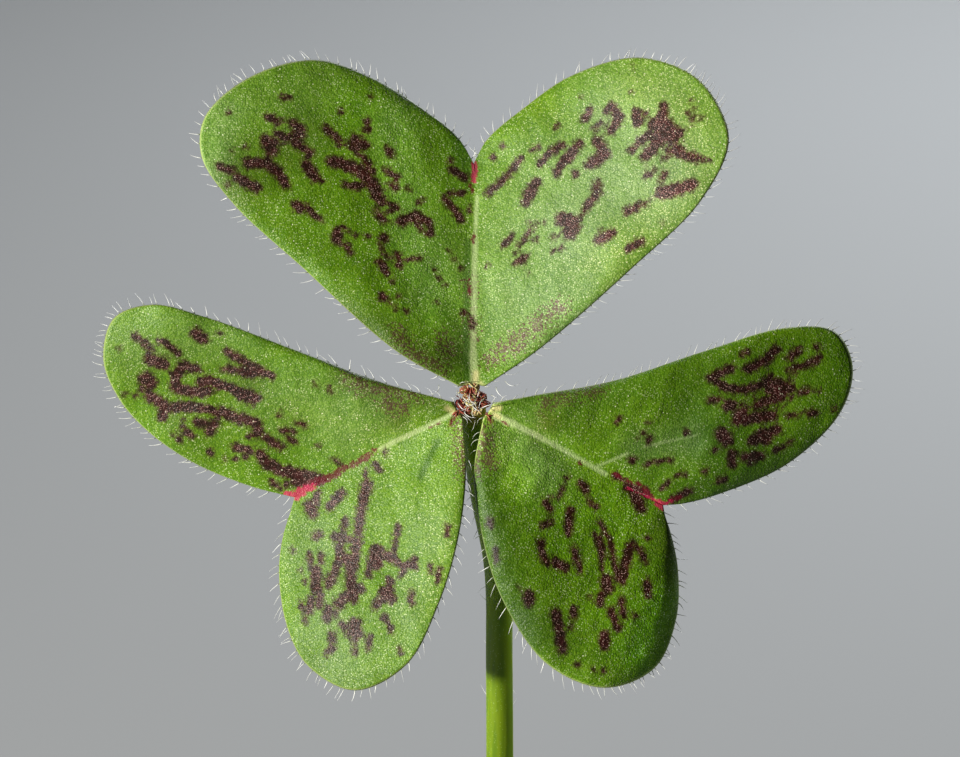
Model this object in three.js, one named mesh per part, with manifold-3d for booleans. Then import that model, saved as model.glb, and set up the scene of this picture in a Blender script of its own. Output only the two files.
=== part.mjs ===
// A bermuda buttercup in a plain clay pot: one tall leaf that faces the front, lower leaves round it,
// the soil they stand in, and the pot. Millimetres, +Z up, front at -Y.
// The origin is the middle of the pot's underside.
import * as THREE from "three";
import { mergeVertices } from "three/addons/utils/BufferGeometryUtils.js";
import Module from "manifold-3d";

const wasm = await Module();
wasm.setup();

// Pot: a tapered wall under a thicker rim band, with drain holes round a solid middle.
const pot = {
  height: 62, wall: 3.4, floor: 4.5, foot: 25, shoulder: 33.4, rim: 37, band: 13, bevel: 1, sides: 44,
};
const drain = { count: 3, radius: 3.2, ring: 13, sides: 16 };

// Soil: it fills the pot up to its level, a little higher in the middle, with crumbs on top.
const soil = { level: 52, mound: 2, rings: 9, sides: 44 };
const crumbs = { height: 1.1, spacing: 4.2, smallest: 0.45, spread: 0.4, fade: 8 };

const clearance = 0.3;
const bladeThickness = 0.7;
const creaseWidth = 0.5; // over which a leaflet's fold turns from one half to the other
const rollSharpness = 6; // how close to the margin a leaflet starts to roll back
const droopEasing = 0.006; // how a leaflet's droop lessens towards its notch, for each millimetre
const stalkHole = { depth: 9, sides: 12 };

// The tall leaf. Its blade faces a viewer in front, who looks down at it by this angle, from this far out of
// the blade and straight at this place in it, across and up from its hub.
const viewTilt = THREE.MathUtils.degToRad(27);
const viewer = { distance: 232, aim: [0.464, 1.247] };
const tallHub = new THREE.Vector3(-1.2, -6, soil.level + 86);
const tallStalk = {
  foot: [0.8, 1.6],
  bends: [[0.6, -5, 85], [0.48, -7.1, 108], [0.42, -6.7, 120.4], [0.28, -6, 127], [-0.68, -5.3, 132.3]],
  radius: 0.76, footRadius: 1, knob: 0.7, knobDepth: 1, steps: 18, sides: 10,
};

// Outlines of its leaflets as the viewer sees them, from the hub: across, then up. Each lobe's margin runs
// from the leaflet's base to the notch between its two lobes. The midrib runs straight from base to notch.
const upperLeaflet = {
  base: [0.1, 0.95],
  notch: [0.1, 13.8],
  lobes: [
    [
      [-0.75, 0.85], [-4.4, 2.9], [-9.9, 7.8], [-13.9, 11.5], [-15.7, 14.2], [-15.5, 16.5], [-12.9, 18.8],
      [-9.1, 19.8], [-5.9, 18.8], [-2.85, 16.95], [-0.8, 15.3],
    ],
    [
      [0.75, 0.85], [3.9, 3], [9.4, 7.8], [13.2, 11.5], [14.9, 14.9], [14.4, 17], [12.9, 18.9],
      [9.7, 19.95], [5.8, 18.9], [3, 17], [0.9, 15.2],
    ],
  ],
  fold: [0.32, 0.36], crown: [0.008, -0.003], droop: 0.25, roll: [0.5, 0.6],
};
const leftLeaflet = {
  base: [-0.85, -0.5],
  notch: [-10.3, -5.6],
  lobes: [
    [
      [-1.05, -0.05], [-5.4, 1.15], [-10.2, 2.95], [-15.5, 4.9], [-18.6, 5.6], [-20.8, 4.8], [-21.4, 2.4],
      [-20.6, 0.3], [-19.1, -1.5], [-16.5, -3.4], [-13, -4.9],
    ],
    [
      [-0.55, -0.9], [-0.35, -4.3], [-0.8, -8], [-1.9, -11.7], [-3.8, -15.3], [-6.8, -16.8], [-9.5, -15.4],
      [-10.7, -13.2], [-11.2, -10.1], [-11, -8], [-10.5, -6.3],
    ],
  ],
  fold: [0.32, 0.35], crown: [0.001, 0.001], droop: 0.25, roll: [0.5, 0.3],
};
const rightLeaflet = {
  base: [1, -0.55],
  notch: [11.1, -6.05],
  lobes: [
    [
      [1.2, -0.1], [3.7, 0.35], [8.3, 1.2], [13.5, 2.9], [18.2, 4.25], [21.05, 4.05], [22.1, 2],
      [21.4, -0.65], [18.4, -3.6], [14.5, -5.35], [12.3, -5.95],
    ],
    [
      [0.65, -0.95], [0.1, -4.3], [0.6, -7.9], [1.8, -11.6], [4.4, -15.3], [7.7, -16.65], [10.6, -15.5],
      [11.85, -12.7], [11.95, -9.7], [11.55, -7.7], [11.2, -6.6],
    ],
  ],
  fold: [0.13, 0.34], crown: [0.012, 0.003], droop: 0.25, roll: [0.6, 1.1],
};

// The lower leaves, all of one plan: where each one's hub is from the middle of the soil, how wide it
// spreads, how far its blade tips outwards and how far it is turned about its own middle.
const lowLeaves = [
  { name: "leaf_front_left", heading: 214, reach: 31, rise: 30, spread: 36, tip: 36, turn: 12 },
  { name: "leaf_front", heading: 274, reach: 29, rise: 21, spread: 33, tip: 38, turn: -14 },
  { name: "leaf_front_right", heading: 331, reach: 32, rise: 29, spread: 37, tip: 32, turn: -6 },
  { name: "leaf_back_right", heading: 28, reach: 31, rise: 22, spread: 34, tip: 36, turn: 16 },
  { name: "leaf_back", heading: 88, reach: 28, rise: 29, spread: 33, tip: 30, turn: -10 },
  { name: "leaf_back_left", heading: 150, reach: 32, rise: 21, spread: 35, tip: 34, turn: 4 },
  { name: "leaf_inner_left", heading: 176, reach: 21, rise: 46, spread: 34, tip: 22, turn: 20 },
  { name: "leaf_inner_front", heading: 246, reach: 22, rise: 51, spread: 31, tip: 24, turn: -8 },
  { name: "leaf_inner_right", heading: 352, reach: 22, rise: 48, spread: 35, tip: 20, turn: 8 },
];
const lowStalk = {
  ring: 6.5, radius: 0.6, footRadius: 0.9, knob: 0.75, knobDepth: 0.35, steps: 13, sides: 6,
  bends: [[0.35, 0.52], [0.75, 0.88]], // shares of the way out to the hub, and of its rise
};
const lowLeafletTurns = [0, 118, 241];
const farViewer = { distance: Infinity, aim: [0, 0] };
const lowLeafletBase = { out: 0.25, half: 0.45 };
const tallSpread = 43.4; // across the tall leaf, whose upper leaflet the lower leaves follow in shape
const tallGrid = { rows: 15, columns: 5 };
const lowGrid = { rows: 12, columns: 2 };

const looks = {
  clay: new THREE.MeshStandardMaterial({ color: 0xb5683f, roughness: 0.9, metalness: 0 }),
  soil: new THREE.MeshStandardMaterial({ color: 0x33241a, roughness: 1, metalness: 0 }),
  blade: new THREE.MeshStandardMaterial({ color: 0x6f9a3c, roughness: 0.5, metalness: 0 }),
  stalk: new THREE.MeshStandardMaterial({ color: 0x86a81c, roughness: 0.45, metalness: 0 }),
};

function solidFrom(geometry) {
  const bare = geometry.clone();
  bare.deleteAttribute("normal");
  bare.deleteAttribute("uv");
  const merged = mergeVertices(bare, 1e-4);
  return new wasm.Manifold(
    new wasm.Mesh({
      numProp: 3,
      vertProperties: new Float32Array(merged.attributes.position.array),
      triVerts: new Uint32Array(merged.index.array),
    }),
  );
}

function geometryFrom(solid) {
  const { numProp, numVert, vertProperties, triVerts } = solid.getMesh();
  const places = new Float32Array(numVert * 3);
  for (let i = 0; i < numVert; i++) places.set(vertProperties.subarray(i * numProp, i * numProp + 3), i * 3);
  const geometry = new THREE.BufferGeometry();
  geometry.setAttribute("position", new THREE.BufferAttribute(places, 3));
  geometry.setIndex(new THREE.BufferAttribute(triVerts, 1));
  geometry.computeVertexNormals();
  return geometry;
}

// A profile of [radius, height] pairs turned about Z. It is closed, or starts and ends on the axis.
function turned(profile, sides) {
  const points = profile.map(([radius, height]) => new THREE.Vector2(radius, height));
  return new THREE.LatheGeometry(points, sides).rotateX(Math.PI / 2);
}

function uprightRod(x, y, low, high, radius, sides) {
  return new THREE.CylinderGeometry(radius, radius, high - low, sides)
    .rotateX(Math.PI / 2)
    .translate(x, y, (low + high) / 2);
}

// How far the pot's inner face is from the axis at a height.
function innerRadius(height) {
  const taper = (pot.shoulder - pot.foot) / (pot.height - pot.band);
  return pot.foot + taper * height - pot.wall;
}

function potSolid() {
  const under = pot.height - pot.band;
  const lip = innerRadius(pot.height);
  const { bevel } = pot;
  const profile = [
    [0, 0],
    [pot.foot - bevel, 0],
    [pot.foot, bevel],
    [pot.shoulder, under],
    [pot.rim - bevel / 2, under],
    [pot.rim, under + bevel],
    [pot.rim, pot.height - bevel],
    [pot.rim - bevel, pot.height],
    [lip + bevel, pot.height],
    [lip, pot.height - bevel],
    [innerRadius(pot.floor + bevel), pot.floor + bevel],
    [innerRadius(pot.floor) - bevel, pot.floor],
    [0, pot.floor],
  ];
  let solid = solidFrom(turned(profile, pot.sides));
  for (let i = 0; i < drain.count; i++) {
    const angle = (i / drain.count) * 2 * Math.PI + Math.PI / 2;
    const [x, y] = [drain.ring * Math.cos(angle), drain.ring * Math.sin(angle)];
    solid = solid.subtract(solidFrom(uprightRod(x, y, -1, pot.floor + 1, drain.radius, drain.sides)));
  }
  return solid;
}

// A repeatable number from 0 to 1 for a pair of whole numbers.
function chance(i, j) {
  const wave = Math.sin(i * 127.1 + j * 311.7) * 43758.5453;
  return wave - Math.floor(wave);
}

// Height of the soil's crumbs over its smooth mound: rounded lumps of uneven size, one in each grid cell.
function crumbHeight(x, y) {
  const { height, spacing, smallest, spread } = crumbs;
  const [column, row] = [Math.floor(x / spacing), Math.floor(y / spacing)];
  let highest = 0;
  for (let i = column - 1; i <= column + 1; i++)
    for (let j = row - 1; j <= row + 1; j++) {
      const [middleX, middleY] = [(i + chance(i, j)) * spacing, (j + chance(j, i + 9)) * spacing];
      const size = spacing * (smallest + spread * chance(i + 5, j + 3));
      const away = Math.hypot(x - middleX, y - middleY) / size;
      if (away < 1) highest = Math.max(highest, (height * (1 - away * away) * (1 + chance(i + 2, j))) / 2);
    }
  return highest;
}

function soilHeight(x, y) {
  const share = Math.min(1, Math.hypot(x, y) / innerRadius(soil.level));
  const rise = soil.mound * (1 - share * share);
  return soil.level + rise + crumbHeight(x, y) * Math.min(1, (1 - share) * crumbs.fade);
}

function soilSolid(feet) {
  const bottom = pot.floor + clearance;
  const gap = 1.5 * clearance; // both outlines have flat sides, so the gap is wider at their corners
  const profile = [
    [0, bottom],
    [innerRadius(bottom) - pot.bevel - gap, bottom],
    [innerRadius(bottom + pot.bevel) - gap, bottom + pot.bevel],
  ];
  const edge = innerRadius(soil.level) - gap;
  for (let ring = soil.rings; ring >= 0; ring--) profile.push([(edge * ring) / soil.rings, soil.level]);
  const geometry = turned(profile, soil.sides);
  const { position } = geometry.attributes;
  for (let i = 0; i < position.count; i++) {
    if (Math.abs(position.getZ(i) - soil.level) > 1e-3) continue;
    // The axis holds one point for each side of the turned profile, and they all take its height.
    const onAxis = Math.hypot(position.getX(i), position.getY(i)) < 1e-3;
    const [x, y] = onAxis ? [0, 0] : [position.getX(i), position.getY(i)];
    position.setXYZ(i, x, y, soilHeight(x, y));
  }
  let solid = solidFrom(geometry);
  for (const { place: [x, y], radius } of feet) {
    const [low, high] = [soil.level - stalkHole.depth, soil.level + stalkHole.depth];
    solid = solid.subtract(solidFrom(uprightRod(x, y, low, high, radius + clearance, stalkHole.sides)));
  }
  return solid;
}

// The flat plan of a leaflet as points and triangles: each lobe is ruled from the midrib out to its margin.
// A point's edge runs from 0 on the midrib to 1 on the margin, its along from 0 at the base to 1 at the
// notch.
function leafletPlan({ base, notch, lobes }, rows, columns) {
  const points = [];
  const triangles = [];
  const add = (point) => points.push(point) - 1;
  const midrib = [];
  for (let row = 0; row <= rows; row++) {
    const along = row / rows;
    const [across, up] = [0, 1].map((k) => base[k] + (notch[k] - base[k]) * along);
    midrib.push(add({ across, up, edge: 0, along, lobe: 0 }));
  }
  lobes.forEach((margin, lobe) => {
    const through = [...margin, notch].map(([across, up]) => new THREE.Vector3(across, up, 0));
    const curve = new THREE.CatmullRomCurve3(through, false, "centripetal");
    let before = null;
    for (let row = 0; row <= rows; row++) {
      const inner = points[midrib[row]];
      const outer = curve.getPointAt(row / rows);
      const line = [midrib[row]];
      for (let column = 1; column <= columns; column++) {
        const edge = column / columns;
        if (row === rows) line.push(midrib[rows]);
        else
          line.push(
            add({
              across: inner.across + (outer.x - inner.across) * edge,
              up: inner.up + (outer.y - inner.up) * edge,
              edge, along: row / rows, lobe,
            }),
          );
      }
      if (before) {
        for (let column = 0; column < columns; column++) {
          const [a, b, c, d] = [before[column], before[column + 1], line[column + 1], line[column]];
          triangles.push([a, b, c], [a, c, d]);
        }
      }
      before = line;
    }
  });
  const facing = triangles
    .filter((corners) => new Set(corners).size === 3)
    .map(([a, b, c]) => {
      const [p, q, r] = [points[a], points[b], points[c]];
      const area = (q.across - p.across) * (r.up - p.up) - (q.up - p.up) * (r.across - p.across);
      return area > 0 ? [a, b, c] : [a, c, b];
    });
  return { points, triangles: facing };
}

// How far a point of a leaflet stands towards the viewer. The halves rise from the midrib as from a valley
// and arch over, the leaflet droops back along its midrib, and its margin rolls back.
function relief({ base, notch, fold, crown, droop, roll }, point, scale) {
  const length = Math.hypot(notch[0] - base[0], notch[1] - base[1]);
  const [alongX, alongY] = [(notch[0] - base[0]) / length, (notch[1] - base[1]) / length];
  const [x, y] = [(point.across - base[0]) / scale, (point.up - base[1]) / scale];
  const out = x * alongX + y * alongY;
  const aside = x * alongY - y * alongX;
  const risen = fold[point.lobe] * (Math.hypot(aside, creaseWidth) - creaseWidth);
  const valley = risen - crown[point.lobe] * aside * aside;
  const ends = Math.min(1, 7 * point.along, 7 * (1 - point.along));
  const rolled = roll[point.lobe] * Math.pow(point.edge, rollSharpness) * ends;
  return scale * (valley - droop * out * (1 - droopEasing * out) - rolled);
}

// Where a point of an outline goes as it comes out of the blade's plane, along the viewer's line of sight.
function alongSight(point, height, { distance, aim }) {
  return [point.across, point.up].map((seen, k) => aim[k] + (seen - aim[k]) * (1 - height / distance));
}

// A closed sheet between a leaflet's face and its back, split into triangles alike on both.
function bladeGeometry(leaflet, { rows, columns }, scale, seenBy) {
  const { points, triangles } = leafletPlan(leaflet, rows, columns);
  const places = [];
  for (const depth of [0, bladeThickness]) {
    for (const point of points) {
      const height = relief(leaflet, point, scale);
      places.push(...alongSight(point, height, seenBy), height - depth);
    }
  }
  const back = points.length;
  const index = [];
  const edges = new Map();
  for (const [a, b, c] of triangles) {
    index.push(a, b, c, back + a, back + c, back + b);
    for (const [from, to] of [[a, b], [b, c], [c, a]]) edges.set(`${from},${to}`, [from, to]);
  }
  for (const [from, to] of edges.values())
    if (!edges.has(`${to},${from}`)) index.push(from, back + from, back + to, from, back + to, to);
  const geometry = new THREE.BufferGeometry();
  geometry.setAttribute("position", new THREE.Float32BufferAttribute(places, 3));
  geometry.setIndex(index);
  return geometry;
}

// A round stalk along a curve, thinner towards its top, closed at both ends.
function stalkGeometry(route, stalk) {
  const { steps, sides } = stalk;
  const curve = new THREE.CatmullRomCurve3(route, false, "centripetal");
  const frames = curve.computeFrenetFrames(steps, false);
  const places = [];
  const index = [];
  for (let step = 0; step <= steps; step++) {
    const middle = curve.getPointAt(step / steps);
    const radius = stalk.footRadius + (stalk.radius - stalk.footRadius) * (step / steps);
    for (let side = 0; side < sides; side++) {
      const angle = (side / sides) * 2 * Math.PI;
      const rim = middle
        .clone()
        .addScaledVector(frames.normals[step], radius * Math.cos(angle))
        .addScaledVector(frames.binormals[step], radius * Math.sin(angle));
      places.push(rim.x, rim.y, rim.z);
      if (step === steps) continue;
      const next = (side + 1) % sides;
      const [a, b] = [step * sides + side, step * sides + next];
      index.push(a, b, b + sides, a, b + sides, a + sides);
    }
  }
  const last = steps * sides;
  for (let side = 1; side < sides - 1; side++) {
    index.push(0, side + 1, side);
    index.push(last, last + side, last + side + 1);
  }
  const geometry = new THREE.BufferGeometry();
  geometry.setAttribute("position", new THREE.Float32BufferAttribute(places, 3));
  geometry.setIndex(index);
  return geometry;
}

// A stalk that stands upright in its hole up to just over the soil, then bends to the knob at its leaf's hub.
function stalkSolid(stalk, [x, y], bends, frame) {
  const knob = new THREE.Vector3(0, 0, -stalk.knobDepth).applyMatrix4(frame);
  const upright = [clearance - stalkHole.depth, -2, 3.5].map((z) => new THREE.Vector3(x, y, soil.level + z));
  const ball = new THREE.IcosahedronGeometry(stalk.knob, 1).translate(knob.x, knob.y, knob.z);
  return solidFrom(stalkGeometry([...upright, ...bends, knob], stalk)).add(solidFrom(ball));
}

// The frame of a leaf: across, up its blade, and out of its face.
function leafFrame(hub, up, face) {
  const across = new THREE.Vector3().crossVectors(up, face).normalize();
  return new THREE.Matrix4().makeBasis(across, up, face).setPosition(hub);
}

function tallLeafFrame() {
  const up = new THREE.Vector3(0, Math.sin(viewTilt), Math.cos(viewTilt));
  const face = new THREE.Vector3(0, -Math.cos(viewTilt), Math.sin(viewTilt));
  return leafFrame(tallHub, up, face);
}

// A leaflet of the lower leaves: the tall leaf's upper leaflet made even about its midrib, at their size.
function lowLeaflet(scale) {
  const { out, half } = lowLeafletBase;
  const middle = upperLeaflet.base[0];
  const [, margin] = upperLeaflet.lobes;
  const right = margin.map(([across, up]) => [(across - middle) * scale, up * scale]);
  right[0] = [half, out];
  const left = right.map(([across, up]) => [-across, up]);
  return {
    base: [0, out],
    notch: [0, upperLeaflet.notch[1] * scale],
    lobes: [left, right],
    fold: [0.34, 0.34], crown: [0.013, 0.013], droop: 0.24, roll: [0.6, 0.6],
  };
}

function lowLeafFoot({ heading }) {
  const angle = THREE.MathUtils.degToRad(heading);
  return [lowStalk.ring * Math.cos(angle), lowStalk.ring * Math.sin(angle)];
}

function lowLeafSolid(leaf) {
  const [angle, tip, turn] = [leaf.heading, leaf.tip, leaf.turn].map(THREE.MathUtils.degToRad);
  const outwards = new THREE.Vector3(Math.cos(angle), Math.sin(angle), 0);
  const upright = new THREE.Vector3(0, 0, 1);
  const face = upright.clone().multiplyScalar(Math.cos(tip)).addScaledVector(outwards, Math.sin(tip));
  const up = outwards.clone().multiplyScalar(Math.cos(tip)).addScaledVector(upright, -Math.sin(tip));
  const place = (reach, rise) => outwards.clone().multiplyScalar(reach).setZ(soil.level + rise);
  const frame = leafFrame(place(leaf.reach, leaf.rise), up.applyAxisAngle(face, turn), face);

  const { ring } = lowStalk;
  const span = leaf.reach - ring;
  const bends = lowStalk.bends.map(([out, lift]) => place(ring + span * out, leaf.rise * lift));
  let solid = stalkSolid(lowStalk, lowLeafFoot(leaf), bends, frame);
  const scale = leaf.spread / tallSpread;
  const blade = bladeGeometry(lowLeaflet(scale), lowGrid, scale, farViewer);
  for (const leafletTurn of lowLeafletTurns) {
    const placed = blade.clone().rotateZ(THREE.MathUtils.degToRad(leafletTurn)).applyMatrix4(frame);
    solid = solid.add(solidFrom(placed));
  }
  return solid;
}

function named(name, geometry, material) {
  const mesh = new THREE.Mesh(geometry, material);
  mesh.name = name;
  return mesh;
}

const plant = new THREE.Group();
plant.add(named("pot", geometryFrom(potSolid()), looks.clay));

const feet = [
  { place: tallStalk.foot, radius: tallStalk.footRadius },
  ...lowLeaves.map((leaf) => ({ place: lowLeafFoot(leaf), radius: lowStalk.footRadius })),
];
plant.add(named("soil", geometryFrom(soilSolid(feet)), looks.soil));

const tallFrame = tallLeafFrame();
const tallBends = tallStalk.bends.map((bend) => new THREE.Vector3(...bend));
const tallStem = stalkSolid(tallStalk, tallStalk.foot, tallBends, tallFrame);
plant.add(named("tall_leaf_stalk", geometryFrom(tallStem), looks.stalk));

const tallBlade = new THREE.Group();
tallBlade.applyMatrix4(tallFrame);
const tallLeaflets = { upper: upperLeaflet, left: leftLeaflet, right: rightLeaflet };
for (const [side, leaflet] of Object.entries(tallLeaflets)) {
  const geometry = bladeGeometry(leaflet, tallGrid, 1, viewer);
  tallBlade.add(named(`tall_leaf_${side}_leaflet`, geometry, looks.blade));
}
plant.add(tallBlade);

for (const leaf of lowLeaves) plant.add(named(leaf.name, geometryFrom(lowLeafSolid(leaf)), looks.blade));

export default plant;
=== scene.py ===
# A bermuda buttercup in a small clay pot, dressed for close views. Its tall leaf faces the camera.
# Lengths are in millimetres, and turn into metres where a mesh, a light or the camera is made.
import math

import bpy
import numpy as np
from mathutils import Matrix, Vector


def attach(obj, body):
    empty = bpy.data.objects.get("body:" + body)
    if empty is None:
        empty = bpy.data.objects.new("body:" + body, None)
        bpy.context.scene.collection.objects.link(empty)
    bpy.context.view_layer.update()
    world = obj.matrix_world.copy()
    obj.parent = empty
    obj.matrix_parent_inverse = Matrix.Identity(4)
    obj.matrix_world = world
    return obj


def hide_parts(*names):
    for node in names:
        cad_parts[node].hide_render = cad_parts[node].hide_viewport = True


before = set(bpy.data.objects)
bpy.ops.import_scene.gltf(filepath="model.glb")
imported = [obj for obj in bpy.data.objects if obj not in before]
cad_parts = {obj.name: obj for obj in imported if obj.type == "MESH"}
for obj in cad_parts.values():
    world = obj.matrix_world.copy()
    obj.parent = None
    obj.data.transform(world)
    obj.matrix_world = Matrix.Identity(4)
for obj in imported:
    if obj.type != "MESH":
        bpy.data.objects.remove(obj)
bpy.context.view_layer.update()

MM = 0.001
SEED = 20

# The photograph's frame, what one of its pixels spans at the tall leaf, and where the leaf's hub is in it
FRAME_SIZE = (960, 757)
PIXEL = 0.058
HUB_PIXEL = (472, 400)
LENS = 150
SENSOR = 36
CAMERA_DISTANCE = FRAME_SIZE[0] * PIXEL * LENS / SENSOR
CAMERA_LIFT = 0.06
CAMERA_AIM = ((FRAME_SIZE[0] / 2 - HUB_PIXEL[0]) * PIXEL, (HUB_PIXEL[1] - FRAME_SIZE[1] / 2) * PIXEL)
# The nearness of the camera spreads the outer marks by this
SEEN_SPREAD = 1.0045
VIEW_TILT = math.radians(27)

# The same plant and pot as the frame's solids
POT = {
    "height": 62, "wall": 3.4, "floor": 4.5, "foot": 25, "shoulder": 33.4, "rim": 37, "band": 13, "bevel": 1,
}
DRAIN = {"count": 3, "radius": 3.2, "ring": 13}
SOIL_LEVEL = 52
SOIL_MOUND = 2
CLEARANCE = 0.3
TALL_HUB = (-1.2, -6, SOIL_LEVEL + 86)
TALL_STALK = {
    "foot": (0.8, 1.6), "radius": 0.76, "foot_radius": 1, "knob": 0.62, "knob_depth": 1,
    "bends": [(0.6, -5, 85), (0.48, -7.1, 108), (0.42, -6.7, 120.4), (0.28, -6, 127), (-0.68, -5.3, 132.3)],
}
UPPER_LEAFLET = {
    "base": (0.1, 0.95), "notch": (0.1, 13.8),
    "lobes": [
        [(-0.75, 0.85), (-4.4, 2.9), (-9.9, 7.8), (-13.9, 11.5), (-15.7, 14.2), (-15.5, 16.5), (-12.9, 18.8),
         (-9.1, 19.8), (-5.9, 18.8), (-2.85, 16.95), (-0.8, 15.3)],
        [(0.75, 0.85), (3.9, 3), (9.4, 7.8), (13.2, 11.5), (14.9, 14.9), (14.4, 17), (12.9, 18.9),
         (9.7, 19.95), (5.8, 18.9), (3, 17), (0.9, 15.2)],
    ],
    "fold": (0.32, 0.36), "crown": (0.008, -0.003), "droop": 0.25, "roll": (0.5, 0.6),
}
LEFT_LEAFLET = {
    "base": (-0.85, -0.5), "notch": (-10.3, -5.6),
    "lobes": [
        [(-1.05, -0.05), (-5.4, 1.15), (-10.2, 2.95), (-15.5, 4.9), (-18.6, 5.6), (-20.8, 4.8), (-21.4, 2.4),
         (-20.6, 0.3), (-19.1, -1.5), (-16.5, -3.4), (-13, -4.9)],
        [(-0.55, -0.9), (-0.35, -4.3), (-0.8, -8), (-1.9, -11.7), (-3.8, -15.3), (-6.8, -16.8), (-9.5, -15.4),
         (-10.7, -13.2), (-11.2, -10.1), (-11, -8), (-10.5, -6.3)],
    ],
    "fold": (0.32, 0.35), "crown": (0.001, 0.001), "droop": 0.25, "roll": (0.5, 0.3),
}
RIGHT_LEAFLET = {
    "base": (1, -0.55), "notch": (11.1, -6.05),
    "lobes": [
        [(1.2, -0.1), (3.7, 0.35), (8.3, 1.2), (13.5, 2.9), (18.2, 4.25), (21.05, 4.05), (22.1, 2),
         (21.4, -0.65), (18.4, -3.6), (14.5, -5.35), (12.3, -5.95)],
        [(0.65, -0.95), (0.1, -4.3), (0.6, -7.9), (1.8, -11.6), (4.4, -15.3), (7.7, -16.65), (10.6, -15.5),
         (11.85, -12.7), (11.95, -9.7), (11.55, -7.7), (11.2, -6.6)],
    ],
    "fold": (0.13, 0.34), "crown": (0.012, 0.003), "droop": 0.25, "roll": (0.6, 1.1),
}
# Each lower leaf: heading, how far out and how high its hub is, breadth, and its blade's tip and turn
LOW_LEAVES = {
    "leaf_front_left": (214, 31, 30, 36, 36, 12), "leaf_front": (274, 29, 21, 33, 38, -14),
    "leaf_front_right": (331, 32, 29, 37, 32, -6), "leaf_back_right": (28, 31, 22, 34, 36, 16),
    "leaf_back": (88, 28, 29, 33, 30, -10), "leaf_back_left": (150, 32, 21, 35, 34, 4),
    "leaf_inner_left": (176, 21, 46, 34, 22, 20), "leaf_inner_front": (246, 22, 51, 31, 24, -8),
    "leaf_inner_right": (352, 22, 48, 35, 20, 8),
}
LOW_STALK = {"ring": 6.5, "radius": 0.6, "foot_radius": 0.9, "knob": 0.7, "knob_depth": 0.35}
LOW_STALK_BENDS = [(0.35, 0.52), (0.75, 0.88)]
LOW_LEAFLET_TURNS = (0, 118, 241)
TALL_SPREAD = 43.4
# Where a stalk stands upright, from the soil's level, and where a lower leaflet's two cushions are
STALK_FOOT_RISES = (-8.7, -2, 3.5)
LOW_CUSHIONS = np.array([[0, 0.5, -0.3], [0.5, 0.25, -0.35]])

BLADE_THICKNESS = 0.34
CREASE_WIDTH = 0.5
ROLL_SHARPNESS = 6
DROOP_EASING = 0.006
# Gentle waves of a blade, and turning marks round the pot: how high each is, and how long or how close
BLADE_WAVES = [(0.16, 5.5), (0.035, 1.6)]
TURNING_MARKS = [(0.06, 2.1), (0.04, 5.3)]
OUT_OF_ROUND = 0.08
WEAR_DEPTH = 0.8
# Crumbs of the soil's body: where their pattern starts, to the right and back, their height and spacing
SOIL_CRUMBS = [(0, 0, 1.1, 4.2), (50, 0, 0.5, 1.5), (0, 70, 0.25, 0.7)]
# Beside a lobe's tip this many hairs stand straight out, and hairs this near the hub bend away from it
TIP_HAIRS = 14
HUB_REACH = 3
# Marks further off than this are all alike
FAR_OFF = 2
UPRIGHT = np.array([0, 0, 1.0])
# How finely a leaflet is divided: shares of the way from midrib to margin, and rows along it
TALL_EDGES = np.concatenate([np.linspace(0, 0.94, 58), [0.957, 0.972, 0.984, 0.993, 1]])
TALL_ROWS = 150
LOW_EDGES = np.concatenate([np.linspace(0, 0.9, 11), [0.95, 0.98, 1]])
LOW_ROWS = 54

# The tall leaf's leaflets: form, seed of its relief, and how much painted shade darkens the green of each
# lobe
TALL_LEAFLETS = {
    "upper_leaflet": (UPPER_LEAFLET, 3, (0.2, 0)), "left_leaflet": (LEFT_LEAFLET, 5, (0.15, 0)),
    "right_leaflet": (RIGHT_LEAFLET, 8, (0.35, 0.2)),
}
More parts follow.
